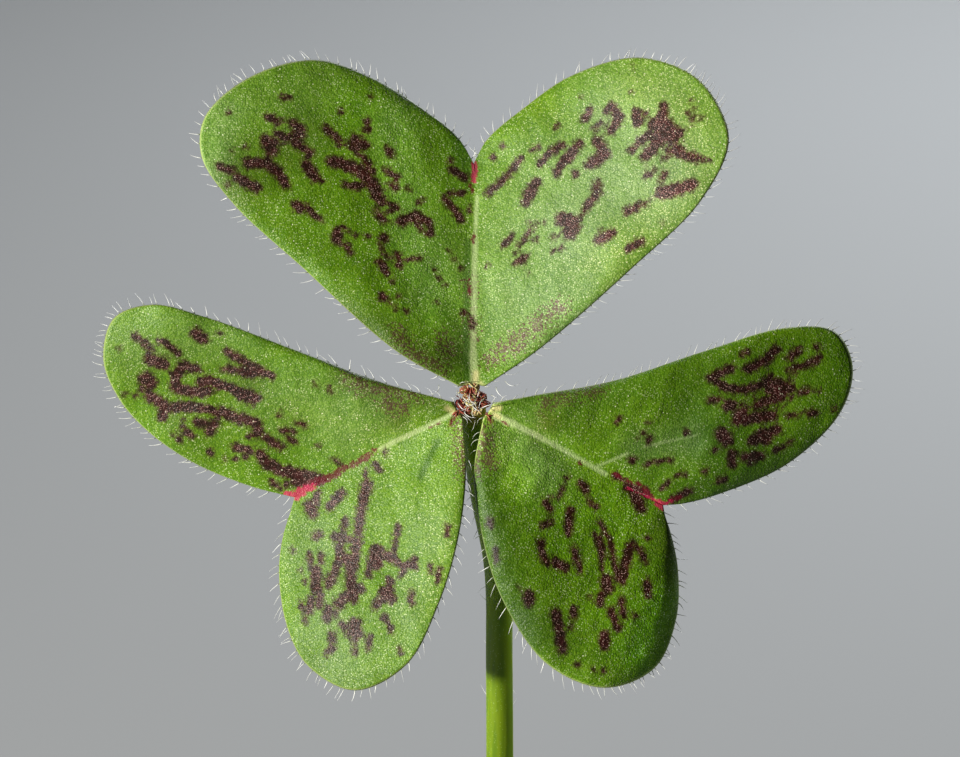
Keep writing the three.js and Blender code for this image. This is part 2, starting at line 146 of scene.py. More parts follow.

# Painted light and shade in broad soft strokes: times as red, times as green, reach in pixels, then the
# pixels
PAINTED_SHADING = [
    (1.5, 1.55, 30, 392, 125, 400, 180, 408, 225, 415, 270, 438, 308), (1.15, 1.2, 18, 345, 100, 350, 120),
    (0.7, 0.66, 26, 300, 140, 270, 160, 235, 185), (0.6, 0.56, 20, 340, 318, 390, 340, 430, 365, 455, 350),
    (0.62, 0.7, 16, 462, 135, 468, 165), (1.3, 1.3, 15, 208, 155, 214, 118),
    (1.4, 1.25, 32, 640, 90, 690, 112, 698, 170, 655, 222, 615, 258), (1.3, 1.2, 20, 545, 105),
    (0.85, 0.85, 16, 602, 120), (1.1, 1.12, 24, 545, 270, 560, 310),
    (0.86, 0.83, 36, 130, 365, 190, 355, 240, 400, 200, 440), (0.75, 0.7, 16, 246, 382),
    (0.8, 0.75, 14, 172, 415), (1.3, 1.18, 24, 295, 415, 355, 425, 372, 440),
    (0.65, 0.6, 18, 350, 378, 400, 394, 434, 400), (0.8, 0.68, 15, 398, 420),
    (0.85, 0.86, 60, 345, 500, 335, 640), (1.3, 1.2, 18, 456, 490, 450, 540, 430, 600),
    (0.85, 0.85, 14, 296, 650, 350, 688, 400, 675), (1.55, 1.45, 14, 735, 335, 785, 322),
    (0.62, 0.68, 26, 700, 420, 728, 445, 750, 450), (1.3, 1.3, 14, 822, 432, 838, 415),
    (1, 0.78, 14, 547, 420), (0.6, 0.65, 16, 690, 495, 740, 480, 790, 455, 812, 438),
    (0.8, 0.8, 20, 700, 380, 745, 372), (1.2, 1.25, 14, 843, 362, 845, 385),
    (1.25, 1.2, 20, 595, 425, 650, 415), (2, 1.9, 22, 497, 420, 503, 460, 512, 480),
    (1.35, 1.4, 32, 545, 470, 555, 520, 562, 550), (1.35, 1.38, 32, 605, 500, 620, 560, 605, 615),
    (0.45, 0.5, 20, 478, 480, 492, 540, 510, 600, 525, 640), (0.7, 0.72, 20, 535, 615, 560, 640),
    (1.85, 2.2, 22, 662, 600, 655, 625, 640, 655), (1.3, 1.3, 16, 638, 520, 630, 510),
    (0.6, 0.55, 12, 668, 515, 672, 545),
]

# A painted sheen, pale where the blade shines: how strong, reach in pixels, then the pixels
PAINTED_SHEEN_STROKES = [
    (0.085, 70, 545, 290, 580, 200, 650, 150), (0.03, 24, 392, 125, 405, 200, 430, 290),
    (0.05, 22, 218, 115, 212, 160), (0.015, 40, 250, 95, 310, 85), (0.035, 36, 300, 400, 355, 425),
    (0.02, 30, 235, 330, 130, 340), (0.05, 26, 503, 435, 545, 470), (0.03, 18, 690, 440, 640, 445),
    (0.035, 36, 610, 85, 655, 95), (0.035, 30, 660, 215, 690, 170), (0.03, 28, 440, 530, 410, 620),
    (0.025, 30, 305, 540, 345, 655),
]

# Marks on the tall leaf as the photograph shows them, each a brush stroke: its width, then the pixels it
# runs through. A round spot has one pixel only.
BLOTCHES = [
    # Upper leaflet, left lobe
    (8, 267, 115, 278, 122), (12, 264, 139, 272, 150), (8, 275, 133, 286, 138, 296, 131, 291, 121),
    (9, 293, 141, 311, 152), (11, 246, 162, 264, 162, 277, 171, 285, 183), (8, 218, 166, 233, 171),
    (10, 237, 177, 256, 187), (6, 245, 147), (3, 232, 149), (6, 227, 184), (4, 280, 96, 289, 97),
    (5, 228, 112), (11, 305, 163, 315, 177), (8, 325, 126, 333, 134, 340, 142), (6, 340, 110),
    (7, 366, 120, 368, 130), (5, 371, 96), (9, 351, 146, 355, 139, 366, 144), (8, 354, 136, 358, 148),
    (7, 357, 150, 364, 158), (12, 331, 160, 345, 164, 358, 169), (13, 358, 170, 368, 178, 375, 188),
    (9, 366, 162, 371, 170), (9, 375, 188, 383, 201), (6, 344, 183, 357, 188), (7, 387, 147, 391, 154),
    (3, 322, 180), (6, 385, 169, 395, 175), (6, 396, 175, 396, 182, 391, 188), (5, 408, 188),
    (4, 418, 202, 422, 199), (8, 376, 210, 384, 220), (6, 391, 204, 398, 207), (4, 386, 213, 392, 208),
    (8, 296, 123, 303, 130, 300, 137), (6, 270, 139, 277, 142), (5, 266, 151, 270, 158),
    (5, 306, 155, 309, 162), (3, 364, 129, 362, 138), (6, 352, 184, 367, 184), (8, 391, 183, 395, 187),
    (7, 372, 193, 378, 201), (10, 399, 221, 415, 215, 428, 221), (7, 413, 218, 419, 225),
    (4, 420, 226, 427, 234), (5, 429, 222, 431, 234), (12, 296, 205, 299, 206), (7, 306, 205, 313, 214),
    (4, 314, 214, 321, 221), (11, 337, 231, 336, 238), (3, 340, 243, 344, 246), (6, 346, 244, 350, 252),
    (4, 342, 226, 346, 229), (4, 354, 234), (5, 367, 235), (9, 383, 236, 385, 237), (5, 379, 242, 382, 249),
    (8, 397, 254, 399, 265), (9, 381, 262, 386, 271), (5, 377, 260, 380, 262), (3, 382, 252, 390, 257),
    (4, 405, 259, 420, 257), (4, 392, 280), (9, 382, 295, 384, 296), (5, 398, 295), (3, 389, 301, 396, 308),
    (4, 406, 310), (2, 437, 301), (3, 449, 250), (5, 454, 258), (4, 461, 267), (3, 435, 269), (4, 439, 277),
    (3, 444, 283), (6, 450, 160), (8, 452, 169, 465, 176), (6, 450, 193, 463, 192),
    (8, 445, 198, 454, 208, 461, 219), (9, 458, 214, 461, 218), (4, 469, 207, 470, 212), (7, 464, 312),
    (5, 471, 317, 472, 326),
    # Upper leaflet, right lobe
    (8, 591, 109, 585, 118), (9, 586, 116), (5, 595, 128, 602, 122), (10, 613, 106, 620, 116, 611, 130),
    (7, 607, 110, 613, 103), (11, 637, 112, 639, 122), (6, 643, 112, 646, 113), (9, 665, 105, 664, 114),
    (15, 663, 117, 664, 124), (14, 655, 123, 670, 125), (15, 656, 137, 678, 132), (12, 646, 155, 657, 144),
    (8, 632, 149, 650, 132), (10, 670, 150, 699, 157), (8, 674, 142, 682, 148), (5, 664, 157, 672, 153),
    (5, 704, 158, 710, 159), (6, 689, 112), (7, 694, 120), (3, 696, 105), (3, 692, 101), (3, 703, 116),
    (9, 648, 174), (6, 654, 170), (7, 662, 178, 666, 172), (13, 662, 192, 693, 184),
    (8, 664, 194, 680, 192), (9, 627, 211, 638, 206), (5, 638, 205, 648, 202), (11, 600, 239, 612, 232),
    (3, 601, 228), (8, 629, 248, 642, 240), (7, 557, 125), (5, 533, 149, 539, 145),
    (8, 541, 162, 550, 151, 563, 144), (9, 557, 172, 564, 159, 580, 142), (8, 568, 160, 575, 153),
    (9, 576, 173), (12, 598, 141, 606, 153, 591, 163), (9, 598, 182, 597, 194, 587, 205), (8, 600, 190),
    (5, 586, 208, 581, 216), (16, 563, 218, 573, 222, 571, 231), (7, 488, 192, 505, 178, 521, 158),
    (11, 526, 200, 536, 181), (6, 503, 145), (6, 493, 156), (4, 530, 222), (7, 533, 227),
    (5, 529, 232, 522, 241), (5, 543, 222), (6, 536, 239), (4, 518, 244), (7, 504, 244, 511, 236),
    (8, 516, 262, 526, 256), (4, 517, 252), (6, 554, 237), (5, 562, 247), (5, 553, 250), (4, 581, 226),
    (4, 487, 265), (3, 528, 273), (3, 632, 90), (3, 582, 95), (2, 634, 65), (3, 663, 221),
    # Left leaflet, upper lobe
    (7, 134, 334, 149, 349), (13, 148, 358, 163, 364), (8, 158, 339, 166, 344, 177, 353),
    (12, 194, 332, 202, 338), (5, 219, 332), (4, 118, 348), (9, 226, 350, 248, 364, 271, 375),
    (8, 223, 368, 235, 369), (13, 244, 370, 254, 371), (15, 144, 378, 149, 382), (8, 141, 388),
    (5, 135, 394), (4, 123, 393), (12, 148, 395, 157, 400, 165, 407), (11, 164, 409, 161, 416),
    (10, 168, 407, 184, 406, 206, 408, 219, 413), (11, 221, 411, 235, 416, 255, 422, 257, 430),
    (6, 248, 435, 260, 432), (9, 264, 436, 279, 446), (9, 184, 365, 196, 368), (11, 181, 365, 177, 371),
    (12, 174, 375, 174, 386, 184, 390, 197, 391, 206, 390), (12, 200, 382, 207, 379, 219, 384),
    (9, 219, 384, 235, 389, 245, 393), (13, 240, 393, 254, 397), (7, 251, 402), (9, 195, 421, 203, 422),
    (11, 213, 423, 208, 430), (7, 182, 427), (8, 185, 431, 190, 434), (7, 178, 438), (4, 183, 419),
    (3, 173, 434), (7, 209, 452), (3, 223, 458), (5, 234, 458), (9, 234, 446, 249, 450), (7, 245, 456),
    (12, 259, 453, 266, 462, 278, 468), (13, 278, 469, 294, 473, 318, 478), (11, 294, 480, 306, 481),
    (6, 271, 480, 276, 485), (4, 280, 487), (8, 285, 484), (6, 278, 414), (6, 281, 429, 286, 430),
    (5, 293, 431), (6, 287, 437, 294, 441), (4, 296, 422, 304, 424), (4, 314, 383), (4, 328, 386, 330, 391),
    (4, 317, 445), (4, 333, 458, 340, 463),
    # Left leaflet, lower lobe
    (12, 309, 504, 312, 512), (8, 317, 493, 314, 503), (9, 341, 492, 329, 506), (6, 375, 463, 379, 469),
    (4, 385, 452), (4, 365, 470, 365, 480), (10, 366, 482, 363, 499, 359, 519, 358, 532),
    (4, 370, 483, 371, 489), (6, 345, 518, 343, 529), (9, 334, 536, 351, 538),
    (9, 340, 543, 338, 559, 333, 573, 328, 584), (11, 357, 541, 354, 556, 350, 572),
    (13, 344, 557, 352, 565), (6, 325, 580), (8, 314, 535, 318, 534), (7, 309, 554, 310, 562),
    (6, 320, 554, 320, 562), (12, 315, 569, 315, 586), (9, 319, 589, 318, 604), (9, 311, 599, 308, 610),
    (5, 304, 580), (3, 300, 569), (6, 301, 603, 302, 607), (4, 305, 615, 304, 622),
    (11, 350, 578, 351, 585), (11, 360, 588, 346, 595, 337, 604), (12, 350, 590, 353, 597),
    (9, 328, 608, 326, 617), (7, 335, 612), (6, 341, 623, 345, 627), (5, 346, 629, 347, 634),
    (13, 355, 623, 356, 634), (9, 350, 624), (5, 354, 641, 354, 653), (7, 331, 633, 331, 639),
    (7, 332, 646, 326, 652), (6, 369, 636, 368, 648), (16, 377, 550, 375, 562), (8, 369, 563, 368, 573),
    (12, 386, 554, 392, 557), (5, 398, 525, 395, 539, 393, 552), (7, 398, 527),
    (8, 397, 561, 403, 565, 412, 563), (6, 403, 566, 401, 573), (6, 414, 558, 415, 566),
    (9, 389, 580, 389, 589, 378, 601, 375, 605), (13, 384, 591, 390, 597), (8, 384, 617),
    (5, 388, 622, 391, 631), (6, 411, 592, 411, 602), (5, 399, 648, 401, 652), (5, 447, 526, 447, 534),
    (3, 430, 565, 430, 571), (5, 439, 568, 438, 579), (3, 292, 549),
    # Right leaflet, upper lobe
    (6, 744, 353, 749, 351), (10, 749, 368, 759, 364, 770, 357, 777, 349), (9, 792, 356, 800, 349),
    (7, 818, 345), (6, 790, 369, 808, 364, 821, 356), (8, 815, 363, 820, 357), (5, 795, 375),
    (9, 711, 377, 722, 372, 732, 367), (9, 718, 381, 728, 387, 744, 389, 762, 384), (9, 771, 376, 769, 383),
    (10, 778, 381, 793, 387), (17, 773, 387, 783, 390), (10, 784, 396, 758, 404), (7, 792, 397),
    (8, 801, 391, 811, 390), (5, 821, 390), (7, 710, 399, 722, 398), (12, 728, 405, 733, 404),
    (4, 744, 403), (3, 755, 396), (13, 740, 414, 745, 411), (12, 738, 420, 760, 416, 774, 415),
    (6, 789, 415, 799, 413), (8, 810, 412, 817, 412), (6, 836, 408), (4, 783, 407),
    (15, 723, 433, 728, 439), (11, 753, 440, 769, 434, 779, 428), (12, 763, 432, 768, 439), (7, 687, 431),
    (6, 716, 449), (10, 733, 452, 734, 463), (10, 745, 456, 763, 455), (8, 752, 461),
    (5, 776, 449, 784, 447), (5, 788, 443, 793, 440), (7, 706, 470), (6, 719, 480, 726, 478),
    (3, 678, 474, 686, 474), (4, 663, 488, 669, 481), (8, 673, 499, 690, 490), (4, 620, 417, 617, 421),
    (3, 649, 422), (5, 644, 432), (4, 651, 436, 650, 441), (3, 639, 436), (8, 633, 459),
    (3, 646, 465, 654, 461, 662, 460), (7, 670, 459), (6, 614, 474, 626, 481), (11, 629, 485, 646, 492),
    (11, 637, 493, 642, 507), (7, 632, 490, 637, 502),
    # Right leaflet, lower lobe
    (7, 490, 519, 491, 524), (5, 496, 549, 496, 560), (8, 545, 501, 551, 508), (5, 568, 477),
    (5, 564, 487, 559, 496), (3, 549, 497, 553, 496), (6, 542, 525, 551, 522), (8, 581, 482, 586, 488),
    (4, 587, 493), (7, 590, 502, 597, 505), (9, 570, 509, 569, 532), (8, 541, 541, 543, 556, 548, 562),
    (11, 555, 561, 565, 567), (8, 575, 548, 576, 560), (6, 579, 560, 581, 570), (4, 600, 520, 606, 532),
    (6, 606, 532, 612, 545, 615, 562, 619, 578), (8, 600, 537, 602, 555), (4, 603, 556, 603, 571),
    (3, 594, 532, 598, 540), (13, 607, 579, 608, 587), (9, 603, 592, 600, 602), (5, 591, 596),
    (10, 631, 545, 627, 561, 623, 580), (10, 620, 572, 623, 580), (6, 633, 542, 640, 548, 646, 560),
    (6, 648, 537), (9, 648, 581, 649, 594), (8, 622, 599, 624, 613), (8, 611, 609, 619, 627), (6, 635, 615),
    (12, 605, 634, 605, 644), (13, 529, 595, 529, 600), (4, 520, 587), (11, 556, 612, 560, 631, 563, 648),
    (8, 574, 608, 574, 616), (5, 571, 627), (6, 578, 664), (4, 594, 669), (5, 604, 670),
]
REDS = [
    (5, 375, 449, 366, 456), (6, 366, 456, 352, 464, 338, 470), (8, 338, 472, 322, 479),
    (7, 322, 479, 306, 484), (3, 470, 183, 472, 190), (3, 473, 232, 473, 238, 475, 242),
    (4, 468, 278, 470, 293), (3, 612, 471, 622, 477), (3, 628, 480, 642, 484), (4, 645, 488, 653, 496),
    (4, 670, 500, 680, 496), (3, 580, 462, 584, 463), (3, 452, 419, 450, 425), (2, 440, 422, 431, 426),
    (4, 488, 417, 491, 420), (2, 504, 421, 508, 424), (3, 461, 408, 455, 415, 451, 421),
]
MAGENTAS = [
    (7, 312, 486, 299, 490), (8, 303, 490, 294, 494), (7, 296, 496, 286, 493),
    (6, 474, 163, 475, 170, 474, 180), (7, 659, 502, 665, 507), (1.2, 628, 487, 640, 492, 652, 498),
    (4, 655, 499, 664, 503), (3, 666, 504, 672, 500),
]
PALES = [
    (7, 474, 384, 473, 352), (5, 473, 352, 474, 300, 475, 240), (3, 475, 240, 477, 196),
    (4, 452, 413, 420, 429, 395, 440, 380, 448), (7, 496, 415, 514, 423), (5, 514, 423, 545, 439),
    (4, 545, 439, 564, 449, 592, 465, 606, 473), (1.5, 596, 466, 620, 456, 629, 452),
    (0.6, 644, 446, 676, 439, 699, 434),
]
CREAMS = [
    (5, 476, 372, 475, 383), (3, 480, 382, 484, 387), (4, 447, 407, 453, 410), (5, 489, 408, 499, 407),
    (3, 494, 413, 499, 416), (3, 466, 383, 470, 385),
]
STAINS = [
    (10, 400, 338, 412, 352, 422, 358), (4, 422, 358, 442, 368), (7, 442, 337, 448, 352),
    (9, 398, 332, 404, 344), (9, 500, 350, 530, 330, 560, 306), (7, 490, 358, 520, 345),
    (5, 345, 378, 356, 381), (9, 358, 384, 380, 389, 396, 391), (4, 396, 391, 415, 394),
    (3, 470, 280, 471, 296), (3, 471, 312, 472, 338), (8, 386, 402, 400, 406), (6, 459, 425, 463, 470),
    (7, 545, 402, 570, 396, 600, 389), (10, 483, 434, 490, 462), (6, 478, 438, 476, 470),
]
# Painted shade in the leaf's creases, as strokes of the same kind
CREASE_SHADE_STROKES = [(4, 438, 440, 429, 457), (5, 429, 457, 420, 476), (3, 467, 380, 466, 330, 467, 290, 468, 240)]

# The hub's cushions: pixel, how far out in millimetres, half length and half width in pixels, heading, tone
HUB_LUMPS = [
    (473, 391, -0.4, 8, 5, -10, 0.45), (482, 396, -0.45, 6, 5, -60, 0.5), (485, 403, -0.35, 6, 4, 8, 0.6),
    (461, 404, -0.35, 7, 5, -38, 0.8), (471, 401, -0.4, 9, 8, 0, 0.3), (475, 409, -0.45, 7, 5, 0, 0.3),
    (476, 386, -0.4, 6, 4, 90, 0.2), (488, 417, -0.3, 4, 3, -40, 0.4), (464, 389, -0.5, 5, 4, 30, 0.4),
]
# Tufts of short fibres on the hub: how many, pixel, spread in pixels, heading, tone and how much tones differ
HUB_FIBRES = [
    (18, 473, 391, 6, 100, 0.5, 0.2), (14, 481, 396, 5, 60, 0.5, 0.25), (7, 478, 397, 3, 20, 0.9, 0.1),
    (12, 484, 402, 6, 10, 0.6, 0.2), (16, 461, 403, 6, 140, 0.8, 0.2), (8, 466, 409, 4, 145, 0.65, 0.2),
    (26, 470, 401, 6, 80, 0.1, 0.2), (12, 475, 410, 5, 260, 0.25, 0.2), (7, 456, 413, 3, 232, 0.4, 0.1),
    (7, 474, 385, 4, 90, 0.1, 0.2), (8, 464, 388, 4, 150, 0.35, 0.3), (7, 488, 416, 3, 320, 0.45, 0.15),
]
# The hub's longer hairs, each by the three pixels that it runs through
HUB_HAIRS = [
    (460, 383, 463, 381, 467, 383), (457, 389, 456, 395, 450, 398), (460, 391, 459, 395, 461, 398),
    (491, 394, 495, 397, 491, 401), (496, 386, 500, 394, 511, 400), (505, 380, 513, 385, 522, 380),
    (439, 384, 437, 391, 428, 393), (458, 402, 463, 408, 467, 406), (464, 411, 470, 416, 478, 416),
    (463, 413, 469, 418, 473, 423), (475, 419, 474, 425, 471, 431), (462, 395, 467, 400, 472, 402),
    (466, 393, 469, 399, 466, 406), (470, 392, 470, 399, 475, 404), (477, 396, 474, 402, 470, 406),
    (479, 400, 473, 404, 467, 404), (471, 400, 476, 405, 474, 411), (474, 408, 472, 413, 476, 418),
    (469, 402, 465, 408, 460, 409), (484, 398, 480, 402, 479, 409), (480, 408, 489, 404, 503, 401),
    (464, 400, 469, 405, 474, 401), (473, 397, 468, 398, 464, 402), (472, 404, 477, 409, 482, 410),
]

# Colours
CLAY = (0.45, 0.165, 0.075)
CLAY_DARK = (0.26, 0.085, 0.04)
CLAY_BLOOM = (0.62, 0.5, 0.42)
EARTH = (0.035, 0.021, 0.013)
EARTH_PALE = (0.1, 0.062, 0.038)
GRIT = (0.62, 0.58, 0.5)
GREEN_DARK = (0.04, 0.12, 0.001)
GREEN_DEEP = (0.096, 0.23, 0.002)
GREEN_FRESH = (0.158, 0.34, 0.003)
GREEN_YELLOW = (0.26, 0.44, 0.012)
GREEN_PALE = (0.5, 0.62, 0.27)
GREEN_UNDER = (0.26, 0.38, 0.13)
PURPLE = (0.018, 0.001, 0.001)
PURPLE_GREY = (0.05, 0.005, 0.008)
HALO_OLIVE = (0.11, 0.1, 0.008)
CRIMSON = (0.13, 0.006, 0.014)
MAGENTA = (0.52, 0.02, 0.085)
CREAM = (0.62, 0.56, 0.24)
STAIN_BROWN = (0.12, 0.055, 0.032)
# A golden rim, also used as painted light on the margins
RIM_GOLD_AND_PAINTED_LIGHT = (0.42, 0.5, 0.16)
# The colour of the painted sheen
PAINTED_SHEEN = (0.9, 0.95, 0.95)
GLINT = (0.62, 0.74, 0.34)
GLINT_BRIGHT = (0.85, 0.88, 0.6)
GLINT_ROSY = (0.6, 0.36, 0.32)
STALK_GREEN = (0.11, 0.2, 0.001)
STALK_YELLOW = (0.17, 0.26, 0.002)
# Painted light on a stalk's far side
STALK_PAINTED_LIGHT = (0.4, 0.56, 0.01)
KNOB_RED = (0.34, 0.065, 0.035)
MAROON = (0.085, 0.008, 0.012)
HAIR_ROOT = (0.5, 0.52, 0.38)
HAIR_TIP = (0.9, 0.91, 0.88)
FLOOR_PALE = (0.43, 0.44, 0.45)
SKY = (0.95, 0.97, 1, 1)
SKY_STRENGTH = 0.035


# Curves and places
def unit(vectors):
    return vectors / np.linalg.norm(vectors, axis=-1, keepdims=True)


def smoothstep(low, high, value):
    share = np.clip((value - low) / (high - low), 0, 1)
    return share * share * (3 - 2 * share)


def travelled(path):
    """How far along a path each of its places is."""
    return np.concatenate([[0], np.cumsum(np.linalg.norm(np.diff(path, axis=0), axis=1))])


def smooth_curve(points, count, steps=60):
    """Evenly spaced places, count of them and one, along the smooth curve through points."""
    knots = np.array(points, float)
    knots = np.vstack([2 * knots[0] - knots[1], knots, 2 * knots[-1] - knots[-2]])
    share = np.linspace(0, 1, steps, endpoint=False)[:, None]
    stretches = []
    for p0, p1, p2, p3 in zip(knots, knots[1:], knots[2:], knots[3:]):
        d0, d1, d2 = (math.sqrt(np.linalg.norm(b - a)) for a, b in ((p0, p1), (p1, p2), (p2, p3)))
        leave = d1 * ((p1 - p0) / d0 - (p2 - p0) / (d0 + d1) + (p2 - p1) / d1)
        arrive = d1 * ((p2 - p1) / d1 - (p3 - p1) / (d1 + d2) + (p3 - p2) / d2)
        square = -3 * p1 + 3 * p2 - 2 * leave - arrive
        cube = 2 * p1 - 2 * p2 + leave + arrive
        stretches.append(p1 + leave * share + square * share**2 + cube * share**3)
    path = np.vstack([*stretches, knots[-2]])
    far = travelled(path)
    stops = np.linspace(0, far[-1], count + 1)
    return np.column_stack([np.interp(stops, far, values) for values in path.T])


def soft_waves(x, y, length, seed, count=7):
    """A gentle uneven relief from -1 to 1, made of crossing waves of about this length."""
    waves = np.random.default_rng(seed)
    total = np.zeros_like(x)
    for _ in range(count):
        heading, phase = waves.uniform(0, 2 * math.pi, 2)
        stretch = length * waves.uniform(0.7, 1.6)
        total += np.sin((x * math.cos(heading) + y * math.sin(heading)) * 2 * math.pi / stretch + phase)
    return total / 4


def beyond_strokes(places, strokes):
    """How far each place lies outside the nearest stroke: less than nothing inside it."""
    nearest = np.full(len(places), math.inf)
    for width, *run in strokes:
        stops = np.array(run, float).reshape(-1, 2)
        if len(stops) == 1:
            stops = np.repeat(stops, 2, axis=0)
        for start, stop in zip(stops, stops[1:]):
            span = stop - start
            share = np.clip((places - start) @ span / max(span @ span, 1e-9), 0, 1)
            away = np.linalg.norm(places - start - share[:, None] * span, axis=1) - width / 2
            np.minimum(nearest, away, out=nearest)
    return nearest


def drawn(strokes, places, size=1):
    """How far each place lies outside each kind of mark, in millimetres. The places' unit is size long."""
    return {label: np.minimum(beyond_strokes(places, run) * size, FAR_OFF) for label, run in strokes.items()}


def swollen(strokes, gain=2, narrow=8):
    """Strokes with the narrow ones a little wider, because their ragged edge eats into them."""
    return [(width + gain * max(0, 1 - width / narrow), *run) for width, *run in strokes]


def to_plan(pixels):
    return (np.asarray(pixels, float) - HUB_PIXEL) * PIXEL * (1, -1)


def turned_axes(degrees):
    """Axes turned about the upright one. The first is the level way at this heading."""
    angle = math.radians(degrees)
    return np.array([[math.cos(angle), math.sin(angle), 0], [-math.sin(angle), math.cos(angle), 0], UPRIGHT])


def leaf_frame(hub, up, face):
    """A leaf's axes, across, up its blade and out of its face, and its hub."""
    up, face = unit(np.array(up, float)), unit(np.array(face, float))
    return np.vstack([np.cross(up, face), up, face]), np.array(hub, float)


def placed(points, leaf):
    axes, hub = leaf
    return points @ axes + hub


def low_frame(heading, reach, rise, tip, turn):
    """A lower leaf's frame: its blade tips outwards, and is turned about its own face."""
    outwards = turned_axes(heading)[0]
    tip, turn = math.radians(tip), math.radians(turn)
    face = UPRIGHT * math.cos(tip) + outwards * math.sin(tip)
    up = outwards * math.cos(tip) - UPRIGHT * math.sin(tip)
    up = up * math.cos(turn) + np.cross(face, up) * math.sin(turn)
    return leaf_frame(outwards * reach + UPRIGHT * (SOIL_LEVEL + rise), up, face)


TALL_LEAF = leaf_frame(
    TALL_HUB, (0, math.sin(VIEW_TILT), math.cos(VIEW_TILT)), (0, -math.cos(VIEW_TILT), math.sin(VIEW_TILT)))
TALL_MARKS = {
    "blotch": swollen(BLOTCHES), "red": REDS, "magenta": MAGENTAS, "pale": PALES, "cream": CREAMS,
    "stain": STAINS, "groove": CREASE_SHADE_STROKES,
}


# Simple shapes, each as points and faces
def level_ring(radius, height, sides):
    """A ring of points about the upright axis. Its radius is one number, or one for each side."""
    turn = np.arange(sides) * 2 * math.pi / sides
    return np.column_stack([radius * np.cos(turn), radius * np.sin(turn), np.full(sides, float(height))])


def ring_faces(rings, sides, first=0):
    """Four-sided faces between rings of points that follow each other."""
    faces = []
    for ring in range(rings - 1):
        for side in range(sides):
            a, b = first + ring * sides + side, first + ring * sides + (side + 1) % sides
            faces.append([a, b, b + sides, a + sides])
    return faces


def flat_ended(rings):
    """Rings of points joined to a shape that is closed at both ends."""
    sides = len(rings[0])
    points = np.vstack(rings)
    last = len(points) - sides
    ends = [list(range(sides))[::-1], list(range(last, last + sides))]
    return points, ring_faces(len(rings), sides) + ends


def point_ended(start, rings, stop):
    """The same, with a single point at each end."""
    sides = len(rings[0])
    points = np.vstack([[start], *rings, [stop]])
    last = len(points) - 1
    faces = ring_faces(len(rings), sides, 1)
    for a in range(sides):
        b = (a + 1) % sides
        faces += [[0, 1 + b, 1 + a], [last - sides + a, last - sides + b, last]]
    return points, faces


def tube(path, radii, sides):
    """A round tube along a path."""
    ahead = unit(np.gradient(path, axis=0))
    way = unit(np.cross(ahead[0], (1, 0.3, 0.1)))
    rings = []
    for place, direction, radius in zip(path, ahead, radii):
        way = unit(way - direction * (way @ direction))
        rings.append(place + level_ring(radius, 0, sides) @ [way, np.cross(direction, way), direction])
    return flat_ended(rings)


def ball(middle, radii, axes, rings=10, sides=16):
    """An ellipsoid about middle, with its radii along the three axes."""
    slopes = [math.pi * ring / rings for ring in range(1, rings)]
    levels = [level_ring(math.sin(slope), -math.cos(slope), sides) for slope in slopes]
    points, faces = point_ended((0, 0, -1), levels, (0, 0, 1))
    return points * radii @ np.array(axes) + middle, faces


def joined(shapes):
    """Several shapes as one."""
    points, faces, start = [], [], 0
    for shape_points, shape_faces in shapes:
        points.append(shape_points)
        faces += [[corner + start for corner in face] for face in shape_faces]
        start += len(shape_points)
    return np.vstack(points), faces


# Leaflets
def leaflet_plan(leaflet, rows, edges):
    """A leaflet's flat plan, ruled from its midrib out to both margins."""
    base, notch = np.array(leaflet["base"]), np.array(leaflet["notch"])
    steps = np.arange(rows + 1) / rows
    midrib = base + (notch - base) * steps[:, None]
    columns = len(edges) - 1
    places, edge, along = [midrib], [np.zeros(rows + 1)], [steps]
    lobe_of, reach, wide = [np.zeros(rows + 1)], [], []
    faces, grids = [], []
    for lobe, margin in enumerate(leaflet["lobes"]):
        outer = smooth_curve([*margin, leaflet["notch"]], rows)
        inner = midrib[:-1, None]
        places.append((inner + (outer[:-1, None] - inner) * edges[None, 1:, None]).reshape(-1, 2))
        edge.append(np.tile(edges[1:], rows))
        along.append(np.repeat(steps[:-1], columns))
        lobe_of.append(np.full(rows * columns, lobe))
        reach.append(np.linalg.norm(outer - midrib, axis=1))
        wide.append(np.repeat(reach[-1][:-1], columns))
        grid = np.full((rows + 1, columns + 1), rows)
        grid[:, 0] = np.arange(rows + 1)
        grid[:-1, 1:] = rows + 1 + np.arange(rows * columns).reshape(rows, -1) + lobe * rows * columns
        grids.append(grid)
        sides = np.stack([grid[:-1, :-1], grid[:-1, 1:], grid[1:, 1:], grid[1:, :-1]], -1)
        across, up = outer[rows // 2] - midrib[rows // 2], notch - base
        if across[0] * up[1] - across[1] * up[0] < 0:
            sides = sides[..., ::-1]
        faces += [list(dict.fromkeys(face)) for face in sides.reshape(-1, 4).tolist()]
    plan = {
        "flat": np.vstack(places), "edge": np.concatenate(edge), "along": np.concatenate(along),
        "lobe": np.concatenate(lobe_of).astype(int), "reach": np.concatenate([np.minimum(*reach), *wide]),
    }
    return plan, faces, grids


def relief(leaflet, plan, scale):
    """How far out of its blade's plane each point of a leaflet stands, and how far out along the blade."""
    base, notch = np.array(leaflet["base"]), np.array(leaflet["notch"])
    forward = unit(notch - base)
    from_base = (plan["flat"] - base) / scale
    out = from_base @ forward
    aside = from_base @ (forward[1], -forward[0])
    fold, crown, roll = (np.array(leaflet[name])[plan["lobe"]] for name in ("fold", "crown", "roll"))
    valley = fold * (np.hypot(aside, CREASE_WIDTH) - CREASE_WIDTH) - crown * aside**2
    ends = np.minimum(1, 7 * np.minimum(plan["along"], 1 - plan["along"]))
    rolled = roll * plan["edge"] ** ROLL_SHARPNESS * ends
    return scale * (valley - leaflet["droop"] * out * (1 - DROOP_EASING * out) - rolled), out


